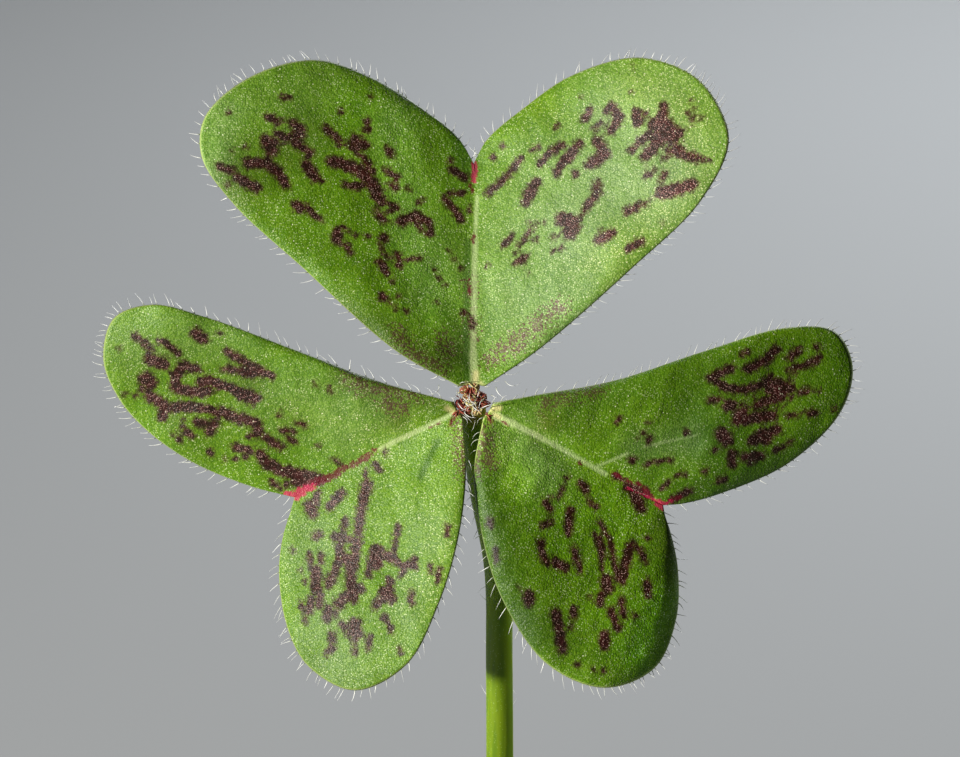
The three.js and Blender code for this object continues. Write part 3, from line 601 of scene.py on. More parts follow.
def leaflet_sheet(leaflet, rows, edges, scale, seed, distance):
    """A leaflet as a thin closed sheet with a round margin, and what is known of each of its points.

    Its plan is as a viewer at this distance sees it, so its points come out along the lines of sight.
    """
    plan, faces, grids = leaflet_plan(leaflet, rows, edges)
    height, out = relief(leaflet, plan, scale)
    calm = smoothstep(0, 0.12, plan["edge"]) * smoothstep(0, 0.1, plan["along"])
    for number, (rise, length) in enumerate(BLADE_WAVES):
        height = height + rise * soft_waves(*plan["flat"].T, length, seed + number) * calm
    from_margin = np.minimum((1 - plan["edge"]) * plan["reach"], plan["along"] * np.abs(out).max() * scale)
    from_margin[grids[0][-1, 0]] = 0
    half = BLADE_THICKNESS / 2
    taper = np.sqrt(1 - (1 - np.minimum(from_margin / half, 1)) ** 2)
    nearer = 1 - height[:, None] / distance
    seen = np.column_stack([CAMERA_AIM + (plan["flat"] - CAMERA_AIM) * nearer, height])
    front = seen - np.outer(half * (1 - taper), UPRIGHT)
    back = seen - np.outer(half * (1 + taper), UPRIGHT)
    inside = from_margin > 0
    behind = np.arange(len(front))
    behind[inside] = len(front) + np.arange(inside.sum())
    back_faces = [[int(behind[corner]) for corner in reversed(face)] for face in faces]
    plan.update(from_margin=from_margin, under=np.where(inside, 0, 0.5))
    facts = {name: np.concatenate([value, value[inside]]) for name, value in plan.items()}
    facts["under"][len(front):] = 1
    return np.vstack([front, back[inside]]), faces + back_faces, facts, grids


def low_leaflet(scale):
    """The tall leaf's upper leaflet made even about its midrib, at a lower leaf's size."""
    middle, foot = UPPER_LEAFLET["base"][0], 0.25
    right = [((across - middle) * scale, up * scale) for across, up in UPPER_LEAFLET["lobes"][1]]
    right[0] = (0.45, foot)
    return {
        "base": (0, foot), "notch": (0, UPPER_LEAFLET["notch"][1] * scale),
        "lobes": [[(-across, up) for across, up in right], right],
        "fold": (0.34, 0.34), "crown": (0.013, 0.013), "droop": 0.24, "roll": (0.6, 0.6),
    }


# Hairs, each tuft as roots, headings, bends and lengths
def hair_mesh(roots, headings, bends, lengths, radius, steps=5, end=0.12):
    """Fine three-sided hairs that taper to a point, each bent sideways as it grows."""
    share = np.arange(steps + 1) / steps
    ahead = unit(headings)
    aside = unit(np.cross(ahead, bends) + 1e-9)
    other = np.cross(ahead, aside)
    grown = share[None, :, None]
    spine = roots[:, None] + lengths[:, None, None] * (ahead[:, None] * grown + bends[:, None] * grown**2)
    girth = radius[:, None] * (1 - share[None, :]) ** 0.6
    girth[:, -1] = radius * end
    rings = []
    for corner in range(3):
        angle = 2 * math.pi * corner / 3
        way = aside * math.cos(angle) + other * math.sin(angle)
        rings.append(spine + girth[..., None] * way[:, None])
    points = np.stack(rings, 2).reshape(-1, 3)
    size = 3 * (steps + 1)
    pattern = [[0, 2, 1], [size - 3, size - 2, size - 1]] + ring_faces(steps + 1, 3)
    faces = [[corner + hair * size for corner in face] for hair in range(len(roots)) for face in pattern]
    return points, faces, {"tip": np.tile(np.repeat(share, 3), len(roots))}


def margin_lines(points, grids):
    """Each lobe's margin: its places, which way it runs, and which way is out of the blade."""
    lines = []
    for grid in grids:
        places = points[grid[:-1, -1]]
        ahead = unit(np.gradient(places, axis=0))
        outward = np.cross(ahead, UPRIGHT)
        inner = points[grid[:-1, grid.shape[1] // 2]]
        if np.sum(outward * (places - inner)) < 0:
            outward = -outward
        lines.append((places, ahead, unit(outward)))
    return lines


def margin_hairs(lines, spacing, length, dice):
    """Hairs along margins: closer and straight out at each lobe's tip, leaning towards it further away."""
    roots, headings, bends, lengths = [], [], [], []
    for places, ahead, outward in lines:
        far = travelled(places)
        from_hub = np.linalg.norm(places, axis=1)
        tip = far[np.argmax(from_hub)]
        stop = 0
        while stop < far[-1]:
            at = np.searchsorted(far, stop)
            from_tip = min(1, abs(stop - tip) / (TIP_HAIRS * spacing))
            lean = ahead[at] * (1 if stop < tip else -1)
            near_hub = math.exp(-from_hub[at] / HUB_REACH)
            roots.append(places[at])
            headings.append(outward[at] + lean * dice.uniform(0.3, 1.1) * from_tip + dice.normal(0, 0.16, 3))
            bends.append(lean * dice.uniform(0, 0.3) - outward[at] * near_hub + dice.normal(0, 0.06, 3))
            lengths.append(length * dice.uniform(0.65, 1.1) * (1 + 0.6 * near_hub))
            stop += spacing * dice.uniform(0.55, 1.25) * (0.75 + 0.6 * from_tip)
    return np.array(roots), unit(np.array(headings)), np.array(bends), np.array(lengths)


def hub_hairs(count, size, dice):
    """Pale hairs that stand up and out all round a hub."""
    turn = dice.uniform(0, 2 * math.pi, count)
    lift = dice.uniform(0.1, 1.3, count)
    out = np.column_stack([np.cos(turn) * np.cos(lift), np.sin(turn) * np.cos(lift), np.sin(lift)])
    roots = out * (0.75, 0.75, 0.4) * dice.uniform(0.6, 1, (count, 1)) - (0, 0, 0.35)
    headings = unit(out + dice.normal(0, 0.35, (count, 3)))
    bends = dice.normal(0, 0.45, (count, 3))
    return roots, headings, bends, dice.uniform(0.35, 0.75, count) * size


def drawn_hairs():
    """The tall hub's longer hairs, each through the three pixels where the photograph shows it."""
    runs = np.array(HUB_HAIRS, float).reshape(-1, 3, 2)
    roots, middles, tips = (np.column_stack([to_plan(runs[:, k]), np.full(len(runs), out)])
                            for k, out in enumerate((0.05, 0.6, 0.35)))
    headings = tips - roots + 4 * (middles - (roots + tips) / 2)
    straight = np.linalg.norm(headings, axis=1, keepdims=True)
    return roots, headings / straight, (tips - roots - headings) / straight, straight[:, 0]


def stalk_hairs(low, high, radius, count, dice):
    """A few hairs along a straight run of stalk."""
    share = dice.uniform(0, 1, (count, 1))
    turn = dice.uniform(0, 2 * math.pi, count)
    out = np.column_stack([np.cos(turn), np.sin(turn), dice.uniform(-0.2, 0.5, count)])
    roots = low + np.subtract(high, low) * share + out * radius * (1, 1, 0) * 0.9
    return roots, unit(out), dice.normal(0, 0.5, (count, 3)), dice.uniform(0.35, 0.7, count)


def in_leaf(leaf, roots, headings, bends, lengths):
    """A tuft given in a leaf's frame, brought to its place."""
    return placed(roots, leaf), headings @ leaf[0], bends @ leaf[0], lengths


# Pieces
def make_piece(name, points, faces, marks, material):
    """A piece of the plant or pot as a Blender mesh, from points in millimetres, with marks on its points."""
    mesh = bpy.data.meshes.new(name)
    mesh.from_pydata((points * MM).tolist(), [], faces)
    for mark, values in marks.items():
        layer = mesh.attributes.new(mark, "FLOAT", "POINT")
        layer.data.foreach_set("value", np.asarray(values, np.float32))
    mesh.materials.append(material)
    mesh.polygons.foreach_set("use_smooth", [True] * len(mesh.polygons))
    mesh.update()
    piece = bpy.data.objects.new(name, mesh)
    bpy.context.scene.collection.objects.link(piece)
    return piece


def keep(piece, slot, *nodes):
    """Ties a piece to the plant's body and lets it stand for the frame's nodes. The slot is not used."""
    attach(piece, "root")
    if nodes:
        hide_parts(*nodes)


# Materials
class Wiring:
    """The nodes of a material or a group, with a word for each kind that is often used."""

    def __init__(self, tree):
        self.tree = tree

    def feed(self, socket, value):
        if isinstance(value, bpy.types.NodeSocket):
            self.tree.links.new(value, socket)
        elif socket.type == "RGBA":
            socket.default_value = (*value, 1)
        else:
            socket.default_value = value

    def put(self, kind, inputs, **settings):
        node = self.tree.nodes.new("ShaderNode" + kind)
        for name, value in settings.items():
            setattr(node, name, value)
        for name, value in inputs.items():
            self.feed(node.inputs[name], value)
        return node.outputs

    def maths(self, operation, first, second):
        return self.put("Math", {0: first, 1: second}, operation=operation)[0]

    def times(self, first, second):
        return self.maths("MULTIPLY", first, second)

    def plus(self, first, second):
        return self.maths("ADD", first, second)

    def minus(self, first, second):
        return self.maths("SUBTRACT", first, second)

    def ranged(self, value, low, high, to_low=0.0, to_high=1.0, kind="SMOOTHSTEP"):
        inputs = {"Value": value, "From Min": low, "From Max": high, "To Min": to_low, "To Max": to_high}
        return self.put("MapRange", inputs, interpolation_type=kind)["Result"]

    def scaled(self, vector, by):
        return self.put("VectorMath", {0: vector, 1: by}, operation="MULTIPLY")[0]

    def coated(self, colour, *coats):
        """A colour under coats, each with its mask, its strength and its colour."""
        for mask, strength, coat in coats:
            inputs = {0: self.times(mask, strength), 6: colour, 7: coat}
            colour = self.put("Mix", inputs, data_type="RGBA")[2]
        return colour


class Surface(Wiring):
    """The nodes of a material, which feed its shader in the end."""

    def __init__(self, name):
        self.material = bpy.data.materials.new(name)
        self.material.use_nodes = True
        super().__init__(self.material.node_tree)
        self.place = self.put("TexCoord", {})["Object"]

    def use(self, group, inputs):
        return self.put("Group", inputs, node_tree=group)

    def patches(self, size, detail, low, high, stretch=(1, 1, 1)):
        """Uneven patches of about this size, between 0 and 1."""
        place = self.scaled(self.place, stretch)
        inputs = {"Place": place, "Size": size, "Detail": detail, "Low": low, "High": high}
        return self.use(MOTTLE, inputs)["Amount"]

    def cells(self, size, share):
        return self.use(CELLS, {"Place": self.place, "Size": size, "Share": share})

    def mark(self, name):
        return self.put("Attribute", {}, attribute_type="GEOMETRY", attribute_name=name)["Fac"]

    def finish(self, inputs, height=None, strength=1, depth=0):
        """Feeds the shader, with a bump of this strength and depth where there is a height."""
        shader = self.tree.nodes["Principled BSDF"]
        if height is not None:
            bump = {"Height": height, "Strength": strength, "Distance": depth * MM}
            inputs["Normal"] = self.put("Bump", bump)[0]
        for name, value in inputs.items():
            self.feed(shader.inputs[name], value)
        return self.material


def make_group(build, name, inputs, outputs):
    """A node group with number inputs, whose nodes the build function makes."""
    tree = bpy.data.node_groups.new(name, "ShaderNodeTree")
    for label, value in inputs.items():
        kind = "NodeSocketVector" if isinstance(value, tuple) else "NodeSocketFloat"
        socket = tree.interface.new_socket(label, in_out="INPUT", socket_type=kind)
        socket.default_value = value
    for label in outputs:
        tree.interface.new_socket(label, in_out="OUTPUT", socket_type="NodeSocketFloat")
    given = tree.nodes.new("NodeGroupInput").outputs
    result = tree.nodes.new("NodeGroupOutput").inputs
    values = build(Wiring(tree), *(given[label] for label in inputs))
    for label, value in zip(outputs, values):
        tree.links.new(value, result[label])
    return tree


def mottle_nodes(nodes, place, size, detail, low, high):
    """Uneven patches between 0 and 1."""
    inputs = {"Vector": place, "Scale": nodes.maths("DIVIDE", 1000.0, size), "Detail": detail}
    noise = nodes.put("TexNoise", inputs)[0]
    return [nodes.ranged(noise, low, high)]


def cell_nodes(nodes, place, size, share):
    """The blade's cells: a chance for each one, its dome, and a dot on the share of them that glint."""
    cell = nodes.put("TexVoronoi", {"Vector": place, "Scale": nodes.maths("DIVIDE", 1000.0, size)})
    chance = nodes.put("SeparateColor", {"Color": cell["Color"]})
    dome = nodes.minus(1.0, nodes.times(cell["Distance"], cell["Distance"]))
    small = nodes.ranged(cell["Distance"], 0.44, 0.26)
    rare = nodes.maths("LESS_THAN", chance[1], share)
    return [chance[0], dome, nodes.times(small, rare)]


def ragged_nodes(nodes, beyond, chance, waver, fray, sway, blur):
    """A mark with an uneven outline. Beyond is in millimetres outside it. Fray is by cells, sway by waves."""
    cellwise = nodes.times(nodes.minus(chance, 0.5), fray)
    wavering = nodes.times(nodes.minus(waver, 0.5), sway)
    distance = nodes.plus(beyond, nodes.plus(cellwise, wavering))
    return [nodes.ranged(distance, blur, nodes.times(blur, -1.0))]


MOTTLE = make_group(
    mottle_nodes, "mottle",
    {"Place": (0, 0, 0), "Size": 1, "Detail": 3, "Low": 0.35, "High": 0.65}, ["Amount"])
CELLS = make_group(
    cell_nodes, "cells", {"Place": (0, 0, 0), "Size": 0.1, "Share": 0.2}, ["Chance", "Dome", "Glint"])
RAGGED = make_group(
    ragged_nodes, "ragged mark",
    {"Beyond": 0, "Chance": 0.5, "Waver": 0.5, "Fray": 0.1, "Sway": 0.3, "Blur": 0.1}, ["Amount"])


def blade_material():
    """Green with glinting cells, dark blotches, a crimson notch, a pale midrib, stains, a golden rim and
    painted light, shade and sheen.
    """
    skin = Surface("blade")
    cell = skin.cells(size=0.094, share=0.4)
    chance = cell["Chance"]
    patchy = skin.patches(0.9, 4, 0.35, 0.7)
    waver = skin.patches(0.34, 3, 0.2, 0.8)
    sparkling = skin.ranged(skin.patches(1.3, 3, 0.35, 0.62), 0, 1, 0.3, 0.85)
    edge = skin.minus(skin.mark("blotch"), 0.022)

    def outline(beyond, fray, sway, blur):
        inputs = {"Beyond": beyond, "Chance": chance, "Waver": waver}
        inputs.update(Fray=fray, Sway=sway, Blur=blur)
        return skin.use(RAGGED, inputs)["Amount"]

    green = skin.coated(
        GREEN_DEEP,
        (skin.patches(5, 2, 0.3, 0.7), 1, GREEN_FRESH),
        (skin.ranged(cell["Dome"], 0.92, 0.6), 0.65, GREEN_DARK),
        (patchy, 0.3, GREEN_FRESH),
        (skin.ranged(chance, 0.4, 1), 0.4, GREEN_YELLOW),
        (skin.ranged(chance, 0.4, 0), 0.5, GREEN_DEEP),
        (outline(skin.mark("stain"), 1.1, 0.5, 0.18), 0.9, STAIN_BROWN),
        (cell["Glint"], sparkling, GLINT),
        # Painted shade on the lobes that face away from the key light
        (skin.mark("shade"), 1, GREEN_DARK),
        # Painted shade in the creases
        (skin.ranged(skin.mark("groove"), 0.25, -0.1), 0.75, GREEN_DARK),
        (skin.ranged(skin.mark("pale"), 0.12, -0.08), 0.6, GREEN_PALE),
        (skin.ranged(skin.mark("cream"), 0.2, -0.15), 0.8, CREAM),
        (outline(edge, 0.1, 0.3, 0.22), 0.5, HALO_OLIVE),
    )
    dark = skin.coated(
        PURPLE,
        (skin.ranged(waver, 0.3, 0.8), 1, PURPLE_GREY),
        (skin.cells(0.07, 0.42)["Glint"], skin.ranged(edge, 0, -0.2, 0.3, 0.82), GLINT_ROSY),
    )
    blotch = outline(edge, 0.1, 0.24, 0.17)
    colour = skin.coated(
        green,
        (blotch, 0.97, dark),
        (outline(skin.mark("red"), 0.12, 0.16, 0.08), 0.9, CRIMSON),
        (outline(skin.mark("magenta"), 0.12, 0.12, 0.06), 0.9, MAGENTA),
        # A pale golden rim, strong enough to paint light on margins that roll away into shade
        (skin.ranged(skin.mark("from_margin"), 0.16, 0.03), 0.75, RIM_GOLD_AND_PAINTED_LIGHT),
        (skin.cells(0.11, 0.02)["Glint"], 0.7, GLINT_BRIGHT),
        (skin.mark("under"), 0.75, GREEN_UNDER),
    )
    # Broad painted light and shade scale the colour, and a painted sheen is laid over it
    greened = skin.mark("greened")
    shading_gain = skin.put("CombineXYZ", {0: skin.mark("reddened"), 1: greened, 2: greened})[0]
    uneven = skin.times(skin.ranged(chance, 0, 1, 0.6, 1.4), skin.ranged(blotch, 0, 1, 1, 0.12))
    colour = skin.coated(skin.scaled(colour, shading_gain), (skin.mark("veil"), uneven, PAINTED_SHEEN))
    rough = skin.ranged(chance, 0, 1, 0.4, 0.55, "LINEAR")
    height = skin.plus(cell["Dome"], skin.times(patchy, 1.2))
    inputs = {"Base Color": colour, "Roughness": rough, "Specular IOR Level": 0.3}
    return skin.finish(inputs, height, strength=0.8, depth=0.028)


def stalk_material():
    """Juicy yellow-green stalk with fine streaks, red where the leaflets join it, paler on one side as
    painted light.
    """
    skin = Surface("stalk")
    streaks = skin.patches(0.35, 3, 0.3, 0.7, stretch=(1, 1, 0.07))
    cell = skin.cells(0.09, 0.2)
    flesh = skin.coated(KNOB_RED, (skin.ranged(cell["Chance"], 0.5, 1), 0.35, GREEN_PALE))
    colour = skin.coated(
        STALK_GREEN,
        (streaks, 1, STALK_YELLOW),
        (cell["Glint"], 0.3, GREEN_PALE),
        # Painted light on the side away from the key light
        (skin.mark("pale"), 1, STALK_PAINTED_LIGHT),
        (skin.mark("red"), skin.ranged(skin.patches(0.5, 4, 0.35, 0.65), 0, 1, 0.6, 1), flesh),
    )
    inputs = {
        "Base Color": colour, "Roughness": skin.ranged(streaks, 0, 1, 0.4, 0.55), "Specular IOR Level": 0.3,
        "Subsurface Weight": 0.9, "Subsurface Radius": (1, 1, 0.05), "Subsurface Scale": 1.6 * MM,
    }
    height = skin.plus(streaks, skin.times(cell["Dome"], 0.4))
    return skin.finish(inputs, height, strength=0.6, depth=0.02)


def hub_material():
    """Small swollen cushions, from cream over brick red to dark maroon."""
    skin = Surface("hub")
    patches = skin.patches(0.22, 4, 0.3, 0.7)
    tone = skin.plus(skin.mark("tone"), skin.times(skin.minus(patches, 0.5), 0.5))
    colour = skin.coated(
        CREAM, (skin.ranged(tone, 0.1, 0.5), 1, KNOB_RED), (skin.ranged(tone, 0.5, 0.95), 1, MAROON))
    return skin.finish({"Base Color": colour, "Roughness": 0.4}, patches, strength=0.5, depth=0.02)


def hair_material():
    """Clear white hairs, greener at the root."""
    skin = Surface("hair")
    tip = skin.ranged(skin.mark("tip"), 0, 0.35)
    colour = skin.coated(HAIR_ROOT, (skin.patches(0.3, 2, 0.3, 0.7), 0.5, HAIR_TIP), (tip, 1, HAIR_TIP))
    return skin.finish({"Base Color": colour, "Roughness": 0.3})


def soil_material():
    """Dark damp crumbs with paler dust."""
    skin = Surface("soil")
    damp = skin.patches(6, 4, 0.35, 0.65)
    fine = skin.patches(0.5, 5, 0.4, 0.7)
    colour = skin.coated(
        EARTH, (damp, 0.5, EARTH_PALE), (fine, 0.6, EARTH_PALE), (skin.mark("grit"), 1, GRIT))
    rough = skin.ranged(damp, 0, 1, 0.75, 0.95)
    return skin.finish({"Base Color": colour, "Roughness": rough}, fine, strength=0.8, depth=0.2)


def clay_material():
    """Fired clay with pores, turning marks, darker damp patches and a chalky bloom."""
    skin = Surface("clay")
    chalk = skin.patches(9, 8, 0.52, 0.72)
    grain = skin.patches(0.6, 6, 0.35, 0.65)
    thrown = skin.patches(1.4, 2, 0.2, 0.8, stretch=(0.02, 0.02, 1))
    pores = skin.cells(1.1, 0.18)["Glint"]
    colour = skin.coated(
        CLAY,
        (skin.patches(22, 5, 0.42, 0.62), 0.6, CLAY_DARK),
        (grain, 0.25, CLAY_DARK),
        (chalk, 0.45, CLAY_BLOOM),
        (skin.mark("worn"), 0.35, CLAY_BLOOM),
        (pores, 0.6, CLAY_DARK),
    )
    raised = skin.plus(skin.times(grain, 0.5), skin.times(thrown, 0.6))
    height = skin.minus(raised, skin.times(pores, 0.8))
    rough = skin.ranged(chalk, 0, 1, 0.8, 0.95)
    return skin.finish({"Base Color": colour, "Roughness": rough}, height, strength=0.7, depth=0.15)


def floor_material():
    return Surface("floor").finish({"Base Color": FLOOR_PALE, "Roughness": 0.9})


blade = blade_material()
stalk_skin = stalk_material()
hub_skin = hub_material()
hair = hair_material()
earth = soil_material()
clay = clay_material()


# Leaves
def painted_shading_gains(pixels):
    """How much painted light and shade make each place redder and greener, as logarithms, and how strong its
    painted sheen is.
    """
    totals = np.zeros((3, len(pixels)))
    strokes = [((math.log(red), math.log(green), 0), *rest) for red, green, *rest in PAINTED_SHADING]
    strokes += [((0, 0, veil), *rest) for veil, *rest in PAINTED_SHEEN_STROKES]
    for amounts, reach, *path in strokes:
        away = beyond_strokes(pixels, [(0, *path)]) / reach
        totals += np.outer(amounts, np.exp(-away * away))
    return totals


def tall_leaflet(name):
    """A leaflet of the tall leaf, with its marks, and the lines of its margin."""
    leaflet, seed, lobe_shading = TALL_LEAFLETS[name]
    points, faces, facts, grids = leaflet_sheet(leaflet, TALL_ROWS, TALL_EDGES, 1, seed, CAMERA_DISTANCE)
    pixels = HUB_PIXEL + facts["flat"] / PIXEL * (SEEN_SPREAD, -1)
    marks = drawn(TALL_MARKS, pixels, PIXEL)
    # Painted shade darkens the lobes that face away from the key light, fading in from the midrib
    marks["shade"] = np.array(lobe_shading)[facts["lobe"]] * smoothstep(0, 0.15, facts["edge"])
    # Broad painted light and shade, and a painted sheen where the blade shines
    red, green, marks["veil"] = painted_shading_gains(pixels) * (1 - facts["under"])
    marks.update(reddened=np.exp(red), greened=np.exp(green))
    marks.update(from_margin=facts["from_margin"], under=facts["under"])
    keep(make_piece(name, placed(points, TALL_LEAF), faces, marks, blade), "blade", "tall_leaf_" + name)
    return margin_lines(points, grids)


def stalk_shapes(stalk, foot, bends, leaf, rings, sides):
    """A stalk with the knob at its leaf's hub, how red each of its points is, and how much painted light
    pales it.
    """
    axes, hub = leaf
    knob = hub - axes[2] * stalk["knob_depth"]
    upright = [(*foot, SOIL_LEVEL + rise) for rise in STALK_FOOT_RISES]
    path = smooth_curve([*upright, *bends, knob], rings)
    radii = np.linspace(stalk["foot_radius"], stalk["radius"], rings + 1)
    points, faces = joined([tube(path, radii, sides), ball(knob, np.full(3, stalk["knob"]), axes)])
    red = smoothstep(0.985, 1, np.repeat(np.arange(rings + 1) / rings, sides))
    aside = (points[:len(red)] - np.repeat(path, sides, axis=0))[:, 0] / np.repeat(radii, sides)
    knob_points = len(points) - len(red)
    red = np.concatenate([red, np.full(knob_points, 0.8)])
    # The side towards +x, away from the key light, is paler: painted light shining through the stalk
    pale = np.concatenate([smoothstep(0.25, 0.85, aside), np.zeros(knob_points)])
    return points, faces, {"red": red, "pale": pale}


def hub_lumps(lumps, leaf):
    """A hub's small cushions, each given as across, up, out, half its length and width, heading and tone."""
    shapes, tones = [], []
    for across, up, out, length, width, heading, tone in lumps:
        middle = placed(np.array([across, up, out]), leaf)
        shapes.append(ball(middle, (length, width, (length + width) / 2.2), turned_axes(heading) @ leaf[0]))
        tones.append(np.full(len(shapes[-1][0]), float(tone)))
    points, faces = joined(shapes)
    return points, faces, {"tone": np.concatenate(tones)}


def hub_fibres(tufts, dice):
    """Short thick fibres, as the lumps of a hub are given."""
    fibres = []
    for count, x, y, spread, heading, tone, differ in tufts:
        for place in to_plan(np.array((x, y)) + dice.normal(0, spread / 2, (count, 2))):
            length = dice.uniform(2.2, 4.5) * PIXEL
            turn = heading + dice.normal(0, 30)
            out, width = dice.uniform(-0.2, 0), dice.uniform(0.7, 1.2) * PIXEL
            fibres.append((*place, out, length, width, turn, tone + dice.uniform(-differ, differ)))
    return fibres


def make_hairs(name, tufts, radius, dice):
    roots, headings, bends, lengths = (np.concatenate(part) for part in zip(*tufts))
    girth = radius * dice.uniform(0.75, 1.25, len(roots))
    keep(make_piece(name, *hair_mesh(roots, headings, bends, lengths, girth), hair), "blade")


def make_tall_leaf():
    dice = np.random.default_rng(SEED + 1)
    lines = [line for name in TALL_LEAFLETS for line in tall_leaflet(name)]
    stalk = stalk_shapes(TALL_STALK, TALL_STALK["foot"], TALL_STALK["bends"], TALL_LEAF, rings=120, sides=28)
    keep(make_piece("tall_stalk", *stalk, stalk_skin), "stalk", "tall_leaf_stalk")
    lumps = [(*to_plan((x, y)), out, length * PIXEL, width * PIXEL, heading, tone)
             for x, y, out, length, width, heading, tone in HUB_LUMPS] + hub_fibres(HUB_FIBRES, dice)
    keep(make_piece("tall_hub", *hub_lumps(lumps, TALL_LEAF), hub_skin), "stalk")

    tufts = [margin_hairs(lines, spacing=0.5, length=0.72, dice=dice), drawn_hairs()]
    tufts.append(hub_hairs(count=26, size=0.55, dice=dice))
    tufts = [in_leaf(TALL_LEAF, *tuft) for tuft in tufts]
    tufts.append(stalk_hairs(low=(0.5, -2.6, 114), high=(0.3, -4.3, 130), radius=0.75, count=16, dice=dice))
    make_hairs("tall_leaf_hairs", tufts, radius=0.03, dice=dice)


def low_blotches(leaflet, dice, blotches=11, strokes_each=4):
    """Blotches scattered over the outer part of each lobe, drawn out along its veins."""
    base, notch = np.array(leaflet["base"]), np.array(leaflet["notch"])
    divisions = 100
    strokes = []
    for margin in leaflet["lobes"]:
        outer = smooth_curve([*margin, leaflet["notch"]], divisions)
        for _ in range(blotches):
            share, edge = dice.uniform(0.12, 0.84), dice.uniform(0.3, 0.84)
            inner = base + (notch - base) * share
            ray = outer[int(share * divisions)] - inner
            length = dice.uniform(0.5, 2.6)
            tilt = dice.normal(0, 0.25)
            way = unit(ray) * math.cos(tilt) + unit(np.array([-ray[1], ray[0]])) * math.sin(tilt)
            for _ in range(strokes_each):
                start = inner + ray * edge + dice.normal(0, 0.42, 2)
                stop = start - way * length * dice.uniform(0.1, 1)
                strokes.append((dice.uniform(0.25, 0.75), *start, *stop))
    return strokes


def low_marks(leaflet, facts, dice):
    """A lower leaflet's marks, in the manner of the tall leaf's, as strokes in its plan."""
    foot, end = leaflet["base"][1], leaflet["notch"][1]
    marks = drawn({
        "blotch": low_blotches(leaflet, dice),
        "red": [(0.25, 0, end * 0.72, 0, end * 0.98), (0.55, 0, end * 0.96, 0, end)],
        "magenta": [(0.35, 0, end * 0.97, 0, end)],
        "pale": [(0.28, 0, foot, 0, end * 0.7)],
        "cream": [(0.7, 0, foot + 0.1)],
        "stain": [(0.5, 0.9, 1.2, 2.4, 2.6), (0.4, -1, 1.4, -2, 2.2)],
    }, facts["flat"])
    even = np.ones(len(facts["flat"]))
    # The lower leaves get no painted shade on lobes or creases, and a faint even painted sheen
    marks.update(groove=even * FAR_OFF, shade=even * 0, veil=even * 0.025, reddened=even, greened=even)
    marks.update(from_margin=facts["from_margin"], under=facts["under"])
    return marks


def make_low_leaf(node, seed):
    heading, reach, rise, spread, *lean = LOW_LEAVES[node]
    dice = np.random.default_rng(SEED + 10 * seed)
    leaf = low_frame(heading, reach, rise, *lean)
    scale = spread / TALL_SPREAD
    leaflet = low_leaflet(scale)
    sheets, marks, lines, lumps = [], [], [], []
    for turn in LOW_LEAFLET_TURNS:
        points, faces, facts, grids = leaflet_sheet(
            leaflet, LOW_ROWS, LOW_EDGES, scale, seed + turn, distance=math.inf)
        marks.append(low_marks(leaflet, facts, dice))
        points = points @ turned_axes(turn)
        lines += margin_lines(points, grids)
        sheets.append((placed(points, leaf), faces))
        middle, side = LOW_CUSHIONS @ turned_axes(turn)
        lumps.append((*middle, 0.5, 0.36, 90 + turn, 0.55))
        lumps.append((*side, 0.3, 0.26, 90 + turn, dice.uniform(0.1, 0.9)))
    marks = {label: np.concatenate([each[label] for each in marks]) for label in marks[0]}
    keep(make_piece(f"{node}_blades", *joined(sheets), marks, blade), "blade", node)

    outwards, ring = turned_axes(heading)[0], LOW_STALK["ring"]
    bends = [outwards * (ring + (reach - ring) * out) + UPRIGHT * (SOIL_LEVEL + rise * lift)
             for out, lift in LOW_STALK_BENDS]
    stalk = stalk_shapes(LOW_STALK, outwards[:2] * ring, bends, leaf, rings=50, sides=14)
    keep(make_piece(f"{node}_stalk", *stalk, stalk_skin), "stalk", node)
    keep(make_piece(f"{node}_hub", *hub_lumps(lumps, leaf), hub_skin), "stalk")
    tufts = [margin_hairs(lines, spacing=0.62, length=0.55, dice=dice)]
    tufts.append(hub_hairs(count=26, size=0.9, dice=dice))
    make_hairs(f"{node}_hairs", [in_leaf(leaf, *tuft) for tuft in tufts], radius=0.024, dice=dice)


# Soil and pot
def inner_radius(height):
    taper = (POT["shoulder"] - POT["foot"]) / (POT["height"] - POT["band"])
    return POT["foot"] + taper * height - POT["wall"]


def chance_of(i, j):
    """An uneven number from 0 to 1 for each cell of a grid."""
    wave = np.sin(i * 127.1 + j * 311.7) * 43758.5453
    return wave - np.floor(wave)


def crumb_height(x, y, height, spacing):
    """Rounded lumps of uneven size, one in each cell of a grid, as on the frame's soil."""
    column, row = np.floor(x / spacing), np.floor(y / spacing)
    highest = np.zeros_like(x)
    for i in (column - 1, column, column + 1):
        for j in (row - 1, row, row + 1):
            middle_x, middle_y = (i + chance_of(i, j)) * spacing, (j + chance_of(j, i + 9)) * spacing
            size = spacing * (0.45 + 0.4 * chance_of(i + 5, j + 3))
            away = np.hypot(x - middle_x, y - middle_y) / size
            lump = height * (1 - away**2) * (1 + chance_of(i + 2, j)) / 2
            highest = np.maximum(highest, np.where(away < 1, lump, 0))
    return highest


def soil_height(x, y):
    share = np.minimum(1, np.hypot(x, y) / inner_radius(SOIL_LEVEL))
    fade = np.minimum(1, (1 - share) * 8)
    crumbs = sum(crumb_height(x + right, y + back, *size) for right, back, *size in SOIL_CRUMBS)
    return SOIL_LEVEL + SOIL_MOUND * (1 - share**2) + crumbs * fade


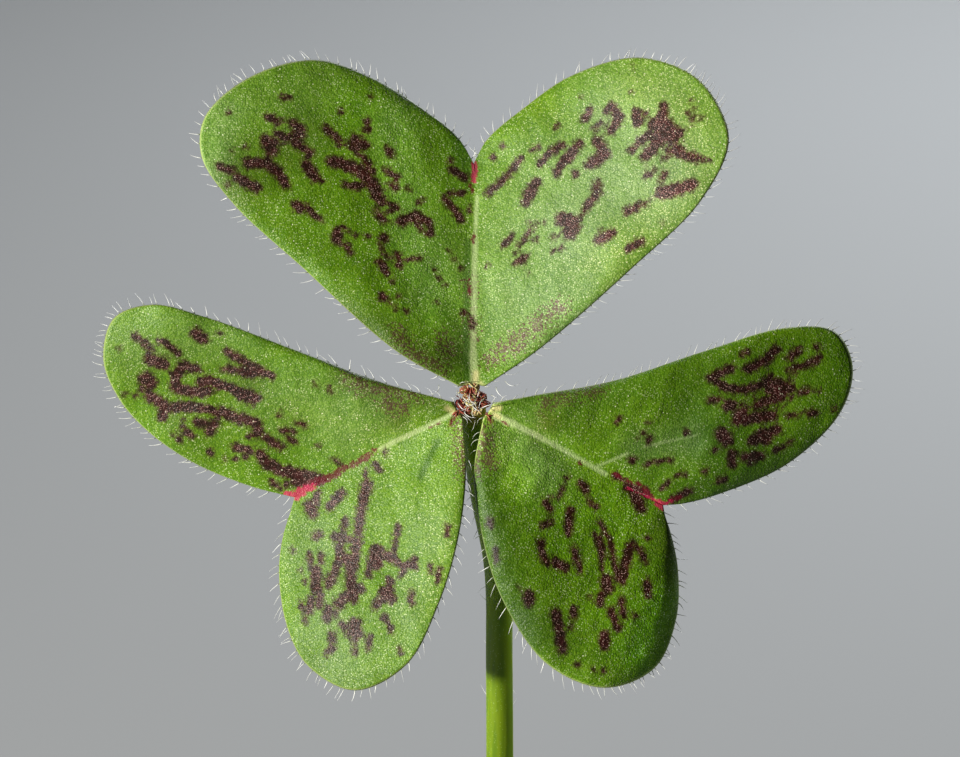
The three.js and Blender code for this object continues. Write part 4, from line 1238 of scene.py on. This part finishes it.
def make_soil(loops=88, sides=220):
    """The soil's crumbly top and its sides down to the pot's floor."""
    edge = inner_radius(SOIL_LEVEL) - CLEARANCE * 0.3
    rings = []
    for loop in range(1, loops + 1):
        ring = level_ring(edge * loop / loops, 0, sides)
        ring[:, 2] = soil_height(*ring.T[:2])
        rings.append(ring)
    bottom = POT["floor"] + CLEARANCE
    for height, bevel in ((SOIL_LEVEL - 6, 0), (SOIL_LEVEL - 20, 0), (bottom + 1, 0), (bottom, 1)):
        rings.append(level_ring(inner_radius(height) - CLEARANCE - bevel, height, sides))
    points, faces = point_ended((0, 0, soil_height(0.0, 0.0)), rings, (0, 0, bottom))
    # The rings run downwards, so each face is turned over
    faces = [[face[0], *face[:0:-1]] for face in faces]
    keep(make_piece("soil_body", points, faces, {"grit": np.zeros(len(points))}, earth), "soil", "soil")


def make_crumbs(count=520, reach=28.5, grit_every=9, bark_every=13):
    """Loose crumbs on the soil, with some pale grit and a few thin bits of bark among them."""
    dice = np.random.default_rng(SEED + 300)
    shapes, grit = [], []
    for number in range(count):
        distance, turn = reach * math.sqrt(dice.uniform(0, 1)), dice.uniform(0, 2 * math.pi)
        x, y = distance * math.cos(turn), distance * math.sin(turn)
        is_grit = number % grit_every == 0
        size = dice.uniform(0.35, 1.1) * (1.25 if is_grit else 1)
        ahead, near, _ = unit(dice.normal(0, 1, (3, 3)))
        aside = unit(np.cross(ahead, near))
        radii = size * dice.uniform(0.6, 1, 3)
        if number % bark_every == 0:
            radii = size * np.array([2.2, 0.3, 0.35])
        middle = (x, y, soil_height(x, y) + 0.15 * size)
        points, faces = ball(middle, radii, [ahead, aside, np.cross(ahead, aside)], rings=6, sides=8)
        shapes.append((points + dice.normal(0, 0.07 * size, points.shape), faces))
        grit.append(np.full(len(points), float(is_grit)))
    keep(make_piece("soil_crumbs", *joined(shapes), {"grit": np.concatenate(grit)}, earth), "soil")


def rounded(profile, radius, steps=6, longest=1.6):
    """A profile with its corners rounded and its straights divided."""
    corners = np.array(profile, float)
    smooth = [corners[0]]
    for before, corner, after in zip(corners, corners[1:], corners[2:]):
        cut = min(radius, np.linalg.norm(before - corner) / 2.2, np.linalg.norm(after - corner) / 2.2)
        start, stop = corner + unit(before - corner) * cut, corner + unit(after - corner) * cut
        for share in np.linspace(0, 1, steps):
            smooth.append(start * (1 - share) ** 2 + corner * 2 * share * (1 - share) + stop * share**2)
    smooth.append(corners[-1])
    divided = [smooth[0]]
    for before, after in zip(smooth, smooth[1:]):
        parts = max(1, int(np.linalg.norm(after - before) / longest))
        divided += [before + (after - before) * part / parts for part in range(1, parts + 1)]
    return np.array(divided)


def pot_profile():
    """The pot's outline: up outside from the middle of its foot, and down inside to its floor's middle."""
    foot, shoulder, rim, bevel, floor, top = (
        POT[name] for name in ("foot", "shoulder", "rim", "bevel", "floor", "height"))
    under, lip, middle = top - POT["band"], inner_radius(top), 0.01
    return rounded([
        (middle, 0), (foot - bevel, 0), (foot, bevel), (shoulder, under), (rim - bevel / 2, under),
        (rim, under + bevel), (rim, top - bevel), (rim - bevel, top), (lip + bevel, top), (lip, top - bevel),
        (inner_radius(floor + bevel), floor + bevel), (inner_radius(floor) - bevel, floor), (middle, floor),
    ], radius=0.7)


def make_pot(sides=180, inward=20):
    """The turned clay pot, a little out of round, with its drain holes cut through.

    Its wall is uneven and its edges are worn. Further inward, its foot and its floor are plainer.
    """
    turn = np.arange(sides) * 2 * math.pi / sides
    rings, worn = [], []
    for radius, height in pot_profile():
        turned = sum(size * math.sin(height * pace) for size, pace in TURNING_MARKS) * (radius > 1)
        bent = OUT_OF_ROUND * np.sin(2 * turn + height * 0.03)
        strength = min(1, radius / inward) * (0 < height < POT["height"])
        rings.append(level_ring(radius + (turned + bent) * strength, height, sides))
        edge = max(math.exp(-abs(height - level) / WEAR_DEPTH) for level in (0.3, POT["height"]))
        worn.append(np.full(sides, edge * (radius > inward)))
    body = make_piece("pot_body", *flat_ended(rings), {"worn": np.concatenate(worn)}, clay)
    cutters = []
    for number in range(DRAIN["count"]):
        place = turned_axes(90 + 360 * number / DRAIN["count"])[0] * DRAIN["ring"]
        path = np.array([place - UPRIGHT, place + UPRIGHT * (POT["floor"] + 1)])
        points, faces = tube(path, (DRAIN["radius"], DRAIN["radius"]), 40)
        cutters.append(make_piece(f"drain_{number}", points, faces, {"worn": np.zeros(len(points))}, clay))
        modifier = body.modifiers.new("drain", "BOOLEAN")
        modifier.object = cutters[-1]
        modifier.operation = "DIFFERENCE"
    evaluated = body.evaluated_get(bpy.context.evaluated_depsgraph_get())
    cut = bpy.data.meshes.new_from_object(evaluated)
    body.modifiers.clear()
    body.data = cut
    for cutter in cutters:
        bpy.data.objects.remove(cutter)
    keep(body, "clay", "pot")


# Floor, camera and light
def make_floor(half=2000):
    points = np.array([[-half, -half, 0], [half, -half, 0], [half, half, 0], [-half, half, 0]], float)
    make_piece("floor", points, [[0, 1, 2, 3]], {}, floor_material())


def aimed(name, data, place, target):
    holder = bpy.data.objects.new(name, data)
    bpy.context.scene.collection.objects.link(holder)
    holder.location = Vector(place) * MM
    holder.rotation_euler = (Vector(target) - Vector(place)).to_track_quat("-Z", "Y").to_euler()
    return holder


def make_light(name, place, target, size, power, colour):
    data = bpy.data.lights.new(name, "AREA")
    data.shape = "DISK"
    data.size = size * MM
    data.energy = power
    data.color = colour
    aimed(name, data, place, target)


def in_view(across, up, out):
    """A place given from the tall leaf's hub as the camera sees it."""
    return placed(np.array([across, up, out], float), TALL_LEAF)


def make_studio():
    """The photograph's camera, a key light from its left, a weak light from behind and an even sky."""
    camera = bpy.data.cameras.new("camera")
    camera.lens = LENS
    camera.sensor_width = SENSOR
    camera.clip_start = 0.01
    across, up = CAMERA_AIM[0], CAMERA_AIM[1] + CAMERA_LIFT
    holder = aimed("camera", camera, in_view(across, up, CAMERA_DISTANCE), in_view(across, up, 0))
    bpy.context.scene.camera = holder

    make_light(
        "key", place=in_view(-340, -13, 246), target=TALL_HUB, size=30, power=3.05, colour=(1, 0.97, 0.9))
    make_light(
        "back", place=(160, 420, 260), target=(0, 0, 60), size=300, power=1.3, colour=(0.93, 0.97, 1))
    world = bpy.data.worlds.new("sky")
    bpy.context.scene.world = world
    world.use_nodes = True
    sky = world.node_tree.nodes["Background"]
    sky.inputs["Color"].default_value = SKY
    sky.inputs["Strength"].default_value = SKY_STRENGTH
    bpy.context.scene.view_settings.view_transform = "Standard"


make_studio()
make_floor()
make_tall_leaf()
for number, node in enumerate(LOW_LEAVES):
    make_low_leaf(node, number + 1)
make_soil()
make_crumbs()
make_pot()
